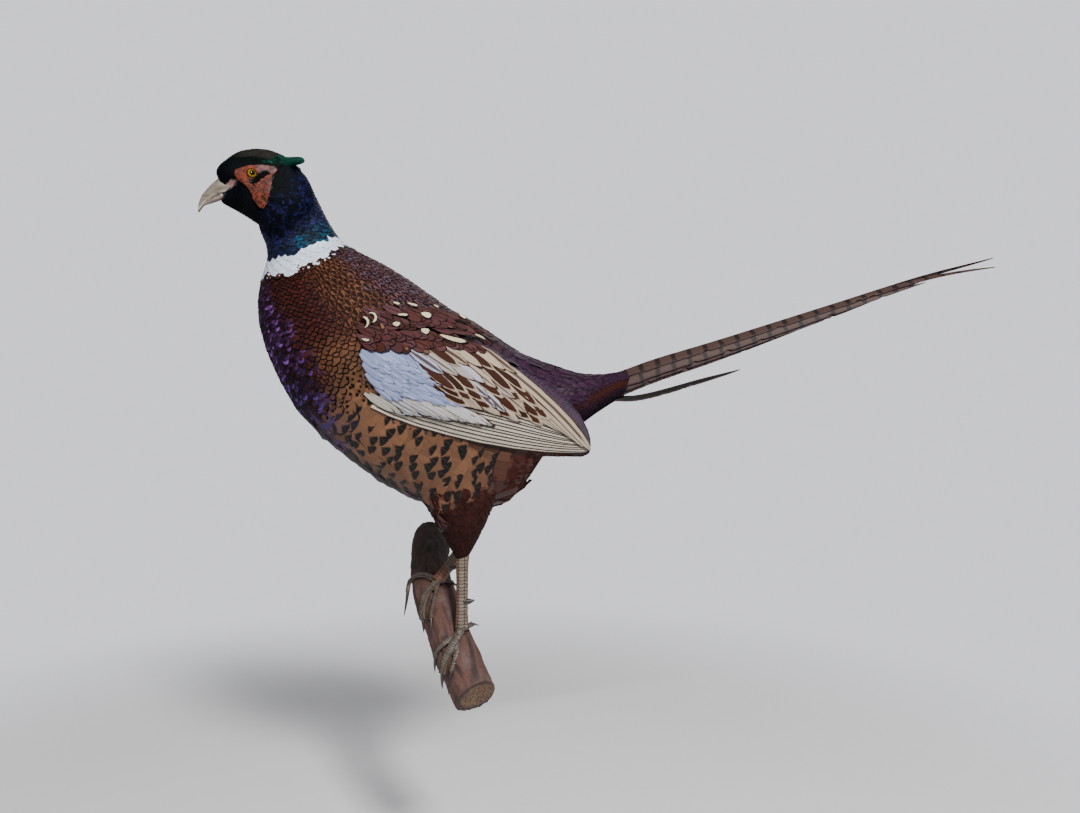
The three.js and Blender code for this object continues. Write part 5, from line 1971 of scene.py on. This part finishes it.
# The shank's lines of plates: turn round it, gap between plates and width.
SHANK_LINES = [
    (-0.5, 2.9, 5.2), (0.5, 2.9, 5.2), (2.5, 2.9, 5.4),
    (-2.5, 2.9, 5.4), (1.5, 2.9, 6.6), (-1.5, 2.9, 6.6),
]
# Each toe: its radius, the length and aim of its claw, and its steps on the branch as (along,
# turn, height).
FEET = {
    "left": {
        "heel": (45.6, -134, 7),
        "ankle": (0.637, 0.1),
        "outer": (
            2.3, 19, (0.05, -0.1, -1),
            [(0.667, 0.37, 0), (0.698, 0.61, 0), (0.73, 0.93, 0), (0.752, 1.22, 0)],
        ),
        "middle": (
            3.7, 13, (0.1, 0.1, -1),
            [(0.662, 0.5, 0), (0.688, 0.9, 0), (0.715, 1.25, 0), (0.74, 1.62, 0)],
        ),
        "inner": (
            2.9, 14, (0.12, 0.1, -1),
            [(0.645, 0.48, 0), (0.652, 0.99, 0), (0.655, 1.4, 0), (0.668, 1.75, 0)],
        ),
        "hind": (2.7, 10, (1, 0, -0.45), [(0.625, -0.3, 1.5), (0.608, -0.75, 2.2)]),
    },
    "right": {
        "heel": (43.5, -100, 12),
        "ankle": (0.427, -0.05),
        "inner": (
            2.3, 17, (0.15, -0.2, -1),
            [(0.455, 0.15, 0), (0.49, 0.47, 0), (0.52, 0.77, 0), (0.545, 0.97, 0)],
        ),
        "middle": (
            3.4, 11, (0.1, -0.1, -1),
            [(0.443, 0.3, 0), (0.463, 0.72, 0), (0.492, 1.06, 0), (0.525, 1.33, 0)],
        ),
        "outer": (
            2.9, 23, (-0.2, 0, -1),
            [(0.412, 0.1, 0), (0.385, 0.5, 0), (0.368, 1.0, 0), (0.36, 1.5, 1), (0.372, 1.75, 2.5)],
        ),
        "hind": (2.7, 9, (0.8, 0.2, -0.6), [(0.418, -0.45, 1.5), (0.41, -0.9, 1)]),
    },
}


def over_branch(t, turn, height):
    """Points at a height over the branch's bark, at places along it and turns round it."""
    t = np.atleast_1d(np.asarray(t, float))
    here = through(BRANCH, t)
    ahead = unit(through(BRANCH, t + 0.01)[:, :3] - through(BRANCH, t - 0.01)[:, :3])
    up = unit(np.array([0, 0, 1]) - ahead * ahead[:, 2:3])
    reach = (here[:, 3] + height)[:, None]
    turn = np.atleast_1d(turn)[:, None]
    return here[:, :3] + (up * np.cos(turn) + np.cross(ahead, up) * np.sin(turn)) * reach


def even_line(points, count):
    """Points at equal steps along a smooth line, the directions there and the line's length."""
    line = through(points, np.linspace(0, 1, 200))
    walked = walk(line)
    at = np.linspace(0, walked[-1], count)
    made = np.stack([np.interp(at, walked, line[:, k]) for k in range(3)], 1)
    return made, unit(np.gradient(made, axis=0)), walked[-1]


def shank_ends(foot):
    return np.array(foot["heel"], float), over_branch(*foot["ankle"], ANKLE_HEIGHT)[0]


def toes(foot):
    return {name: toe for name, toe in foot.items() if name not in ("heel", "ankle")}


def toe_line(foot, toe):
    height = toe[0] - 0.4
    start = over_branch(*foot["ankle"], height + 0.8)
    rest = [over_branch(at, turn, height + more)[0] for at, turn, more in toe[3]]
    return np.array([start[0], *rest])


def tube_mesh(name, line, radius, around, flatten=1.0):
    """A closed, pointed tube round a line, in millimetres."""
    count = len(line)
    ahead = unit(np.gradient(line, axis=0))
    across = unit(np.cross(ahead, [0.31, 0.53, 0.79]))
    third = np.cross(ahead, across)
    turn = np.linspace(0, 2 * np.pi, around, endpoint=False)
    turn = turn[None, :, None]
    ring = across[:, None] * np.cos(turn) + third[:, None] * np.sin(turn) * flatten
    points = (line[:, None] + ring * radius[:, None, None]).reshape(-1, 3)
    faces = []
    for i in range(count - 1):
        for k in range(around):
            a, b = i * around + k, i * around + (k + 1) % around
            faces.append((a, b, b + around, a + around))
    faces.append(tuple(range(around - 1, -1, -1)))
    faces.append(tuple(range((count - 1) * around, count * around)))
    mesh = bpy.data.meshes.new(name)
    mesh.from_pydata((points * MM).tolist(), [], faces)
    obj = new_object(name, mesh)
    edit_whole(obj, bpy.ops.mesh.normals_make_consistent, inside=False)
    bpy.ops.object.shade_smooth()
    return obj


def into_thigh(leg, foot):
    """Draws the top of the leg up into the thigh's feathers."""
    heel, ankle = shank_ends(foot)
    up = unit(heel - ankle)
    co = coords(leg.data) - vertex_normals(leg.data) * 0.2 * MM
    top = ease((co / MM - heel) @ up, -1.5, -0.3)
    set_coords(leg.data, co + (up * 9 + [2, 0, 0]) * MM * top[:, None])


def shank_plates(foot, surface, rng):
    heel, ankle = shank_ends(foot)
    heel = heel + unit(heel - ankle) * 4
    length = np.linalg.norm(ankle - heel)
    down = unit(ankle - heel)
    roots, widths = [], []
    for turn, gap, wide in SHANK_LINES:
        count = int((length - 2) / gap)
        at = heel + down * (np.arange(count)[:, None] * gap + (0.5 if turn > 0 else 0.1) * gap)
        out = np.array([-math.cos(turn), -math.sin(turn) * 0.74, 0])
        roots.append(at + out * (SHANK_RADIUS + 0.5))
        widths.append(np.full(count, wide))
    roots, widths = np.concatenate(roots), np.concatenate(widths)
    made = lay_plates(roots, down, widths, surface, rng, 4.0)
    front = ease(roots[:, 0] - roots[:, 0].mean(), -2.4, -4)
    made[2].over(front * 0.8, made[2].tone(colours("limb").scale_warm))
    return made


def toe_plates(foot, toe, surface, rng):
    length = even_line(toe_line(foot, toe), 17)[2]
    line, ahead, _ = even_line(toe_line(foot, toe), max(5, int(length / 2.0)) + 2)
    line, ahead = line[1:], ahead[1:]
    middle = through(BRANCH, np.linspace(0.3, 0.85, 200))[:, :3]
    near = middle[np.argmin(np.linalg.norm(line[:, None] - middle[None], axis=2), axis=1)]
    out = unit(line - near)
    out = unit(out - ahead * (out * ahead).sum(1, keepdims=True))
    roots = line + out * (toe[0] + 0.4)
    made = lay_plates(roots, ahead, toe[0] * 2.1, surface, rng, 2.9)
    made[2]["Base"] = made[2]["Base"] * [0.6, 0.64, 0.68]
    return made


def lay_plates(roots, lie, width, surface, rng, length):
    found = surface.nearest(roots * MM)[0]
    lie = np.broadcast_to(lie, roots.shape)
    made = lay_vanes(
        surface, found, lie, length * MM, width * MM, PLATE, 5, (-0.1, 0.38), camber=0.12, slack=1.0
    )
    c = colours("limb")
    marks = plain_marks(c.scale, c.crease, rng, len(roots), 0.26, amount=0.16)
    return made, PLATE, marks, found


def toe_claw(side, name, material):
    toe = FEET[side][name]
    radius, length, aim, _ = toe
    line, ahead, _ = even_line(toe_line(FEET[side], toe), 60)
    start, along = line[-1] - ahead[-1] * 1.2, ahead[-1]
    bend = start + along * (length * 0.45 + 1.2)
    tip = bend + unit(np.array(aim, float)) * length * 0.55
    t = np.linspace(0, 1, 16)
    u = t[:, None]
    curve = start * (1 - u) ** 2 + bend * 2 * u * (1 - u) + tip * u**2
    thick = radius * 0.6 * (1 - t) ** 0.85 + 0.22
    claw = tube_mesh(f"claw_{side}_{name}_horn", curve, thick, 12, 0.85)
    settle(claw, material, "claw_horn", f"claw_{side}_{name}")


def leg_spur(side, material):
    heel, ankle = shank_ends(FEET[side])
    start = heel + (ankle - heel) * 0.6 + [1.5, 0, 0]
    t = np.linspace(0, 1, 14)
    back = np.stack([t * (SHANK_RADIUS + 4.4), 0 * t, -1.1 * t + 2.2 * t**2.5], 1)
    spur = tube_mesh(f"spur_{side}_horn", start + back, 3.7 * (1 - t) ** 0.8 + 0.35, 14)
    settle(spur, material, "claw_horn", f"spur_{side}")


def leg_skin():
    material, w = new_material("leg_skin", Roughness=0.6)
    c = colours("limb")
    edge = w.texture(
        "ShaderNodeTexVoronoi", w.place(), dict(Scale=900), feature="DISTANCE_TO_EDGE"
    )
    share = w.step(edge, 0.02, 0.12)
    w.surface(w.mix(share, c.crease[:], c.scale[:]), share, 0.6, 0.0004)
    return material


class PHEASANT_OT_legs(bpy.types.Operator):
    """Model the legs and toes with their plates, the claws and the spurs"""

    bl_idname = "pheasant.legs"
    bl_label = "Legs and feet"

    def execute(self, context):
        rng = np.random.default_rng(19)
        skin, horn = leg_skin(), horn_material("claw_horn", colours("limb").claw, 0.35, 500.0)
        for name, _ in SIDES:
            foot = FEET[name]
            nodes = [f"shank_{name}"] + [f"toe_{name}_{toe}" for toe in toes(foot)]
            leg = softened(copy_of(nodes, f"leg_{name}"), 0.7, 3)
            into_thigh(leg, foot)
            settle(leg, skin, "leg_scales", *nodes)
            surface = Surface(leg)
            batches = [shank_plates(foot, surface, rng)]
            batches += [toe_plates(foot, toe, surface, rng) for toe in toes(foot).values()]
            vane_mesh(f"leg_plates_{name}", batches, feather_material("leg_plates"), "leg_scales")
            for toe in toes(foot):
                toe_claw(name, toe, horn)
            leg_spur(name, horn)
        return {"FINISHED"}


def bark_finish():
    material, w = new_material("bark", Roughness=0.82)
    c = colours("limb")
    place = w.place()
    cut, ridge, _ = w.split(w.attribute("Form"))
    grain, patch = w.noise(place, 420, 5, 0.65), w.noise(place, 55, 3)
    colour = w.mix(w.step(ridge, 0.35, 0.85), c.bark_deep[:], c.bark[:])
    colour = w.mix(w.times(w.step(patch, 0.5, 0.7), 0.4), colour, (0.13, 0.095, 0.09, 1))
    # The bark darkens towards its root: painted shadow of the bird's body.
    painted_wall_shade = w.step(w.split(place)[1], -0.11, -0.05)
    colour = w.mix(w.times(painted_wall_shade, 0.6), colour, (0.012, 0.008, 0.007, 1))
    colour = w.toned(colour, grain, 1.1, 0.45)
    centre = w.node("ShaderNodeVectorMath", operation="DISTANCE")
    w.put(centre.inputs[0], place)
    centre.inputs[1].default_value = tuple((SAWN_AT + [1.5, 1, 2]) * MM)
    far = centre.outputs["Value"]
    rings = w.math("SINE", w.linear(patch, 3.0, w.times(far, 4200.0)))
    wood = w.mix(w.step(rings, -0.2, 0.9), c.cut[:], tuple(0.55 * v for v in c.cut))
    wood = w.mix(w.step(w.noise(place, 620, 5, 0.75), 0.46, 0.56), wood, c.bark_deep[:])
    wood = w.mix(w.step(far, 0.0145, 0.0175), wood, c.bark_deep[:])
    w.surface(w.mix(cut, colour, wood), grain, 0.6, 0.0012)
    return material


class PHEASANT_OT_branch(bpy.types.Operator):
    """Model the branch stub: furrowed bark, knots and the sawn end"""

    bl_idname = "pheasant.branch"
    bl_label = "Branch"

    def execute(self, context):
        branch = softened(copy_of(["branch"], "branch_bark"), 1.1, 3)
        mesh = branch.data
        co, normals = coords(mesh), vertex_normals(mesh)
        at = co / MM
        along = at @ BARK_AXIS
        place = (at - np.outer(along, BARK_AXIS)) * 0.16 + np.outer(along * 0.035, BARK_AXIS)
        ridge = 1 - np.abs(noise_at(place, 1.0)) * 2
        lumps, fine = noise_at(at, 0.07), noise_at(at, 0.6)
        sawn = (SAWN_AT - at) @ SAWN_FACING
        whole = ease(sawn, 0.6, 2.5) * ease(-co[:, 1] / MM, 0.5, 3)
        height = whole * (0.75 * ridge - 0.55 + 0.8 * lumps + 0.28 * fine)
        chips = ease(sawn, 1.2, 0.3) * (0.5 * noise_at(at, 0.3) + 0.5 * fine)
        co = co + normals * (height * MM)[:, None]
        set_coords(mesh, co + SAWN_FACING * (chips * MM)[:, None])
        paint(mesh, "Form", np.stack([ease(sawn, 1.1, 0.5), ridge * 0.5 + 0.5, lumps, fine], 1))
        settle(branch, bark_finish(), "bark", "branch")
        return {"FINISHED"}


# ---- stage ----

# The lamps: place, size and share of the key power.
LAMPS = {
    "key": ((0.75, -1.75, 1.45), 0.4, 4.0),
    "fill": ((-1.5, -1.3, 0.5), 1.2, 0.3),
    "back": ((0.3, 1.6, 1.3), 1.2, 0.25),
}
LAMP_AIM = Vector((0.1, -0.1, 0.12))
CAMERA_AT = (0.1145, -0.86, 0.14175)


class PHEASANT_OT_stage(bpy.types.Operator):
    """Set the pale floor, the soft lights and the camera"""

    bl_idname = "pheasant.stage"
    bl_label = "Stage"

    def execute(self, context):
        settings = context.scene.stage_settings
        deselect()
        bpy.ops.mesh.primitive_circle_add(
            vertices=96, radius=1.3, fill_type="NGON", location=(0.12, -0.1, settings.floor_height)
        )
        floor = bpy.context.active_object
        floor.name = "floor"
        bpy.ops.object.transform_apply(location=True)
        material, w = new_material("pale_floor", Roughness=0.9)
        tone = w.linear(w.noise(w.place(), 40, 2), 0.02, 0.85)
        w.put(w.shader["Base Color"], w.join(tone, tone, tone))
        far = w.node("ShaderNodeVectorMath", operation="LENGTH")
        w.put(far.inputs[0], w.place())
        w.put(w.shader["Alpha"], w.step(far.outputs["Value"], 1.2, 0.55))
        floor.data.materials.append(material)
        for name, (place, size_, power) in LAMPS.items():
            data = bpy.data.lights.new(name, "AREA")
            data.size, data.energy = size_, settings.key_power * power
            lamp = new_object(name, data)
            lamp.location = place
            lamp.rotation_euler = (LAMP_AIM - Vector(place)).to_track_quat("-Z", "Y").to_euler()
        world = bpy.data.worlds.new("studio")
        world.use_nodes = True
        sky = world.node_tree.nodes["Background"]
        sky.inputs[0].default_value = (0.93, 0.94, 1.0, 1)
        # The backdrop looks paler than the even light that it gives.
        w = Weave(world.node_tree)
        seen = w.node("ShaderNodeLightPath").outputs["Is Camera Ray"]
        w.put(sky.inputs[1], w.linear(seen, 1.15 - settings.sky, settings.sky))
        context.scene.world = world
        camera = bpy.data.cameras.new("camera")
        camera.sensor_width = 36
        camera.lens = 27.3
        camera.clip_start = 0.01
        view = new_object("camera", camera)
        view.location = CAMERA_AT
        view.rotation_euler = (math.pi / 2, 0, 0)
        context.scene.camera = view
        return {"FINISHED"}


OPERATORS = (
    PHEASANT_OT_skin,
    PHEASANT_OT_neck,
    PHEASANT_OT_body,
    PHEASANT_OT_soft,
    PHEASANT_OT_head_feathers,
    PHEASANT_OT_face,
    PHEASANT_OT_eyes,
    PHEASANT_OT_bill,
    PHEASANT_OT_wings,
    PHEASANT_OT_tail,
    PHEASANT_OT_legs,
    PHEASANT_OT_branch,
    PHEASANT_OT_stage,
)
SETTINGS = {
    "plumage_colours": PlumageColours,
    "wing_colours": WingColours,
    "head_colours": HeadColours,
    "limb_colours": LimbColours,
    "coat_sizes": CoatSizes,
    "stage_settings": StageSettings,
}


class PHEASANT_PT_panel(bpy.types.Panel):
    """The pheasant's pieces and their settings"""

    bl_label = "Mounted Pheasant"
    bl_idname = "PHEASANT_PT_panel"
    bl_space_type = "VIEW_3D"
    bl_region_type = "UI"
    bl_category = "Pheasant"

    def draw(self, context):
        for operator in OPERATORS:
            self.layout.operator(operator.bl_idname)
        for name, group in SETTINGS.items():
            box = self.layout.box()
            box.label(text=group.__doc__)
            for label in group.__annotations__:
                box.prop(getattr(context.scene, name), label)


def register():
    for name, group in SETTINGS.items():
        bpy.utils.register_class(group)
        setattr(bpy.types.Scene, name, PointerProperty(type=group))
    for operator in OPERATORS:
        bpy.utils.register_class(operator)
    bpy.utils.register_class(PHEASANT_PT_panel)


def unregister():
    bpy.utils.unregister_class(PHEASANT_PT_panel)
    for operator in reversed(OPERATORS):
        bpy.utils.unregister_class(operator)
    for name, group in SETTINGS.items():
        delattr(bpy.types.Scene, name)
        bpy.utils.unregister_class(group)


def main():
    register()
    for operator in OPERATORS:
        group, name = operator.bl_idname.split(".")
        getattr(getattr(bpy.ops, group), name)()


if __name__ == "__main__":
    main()
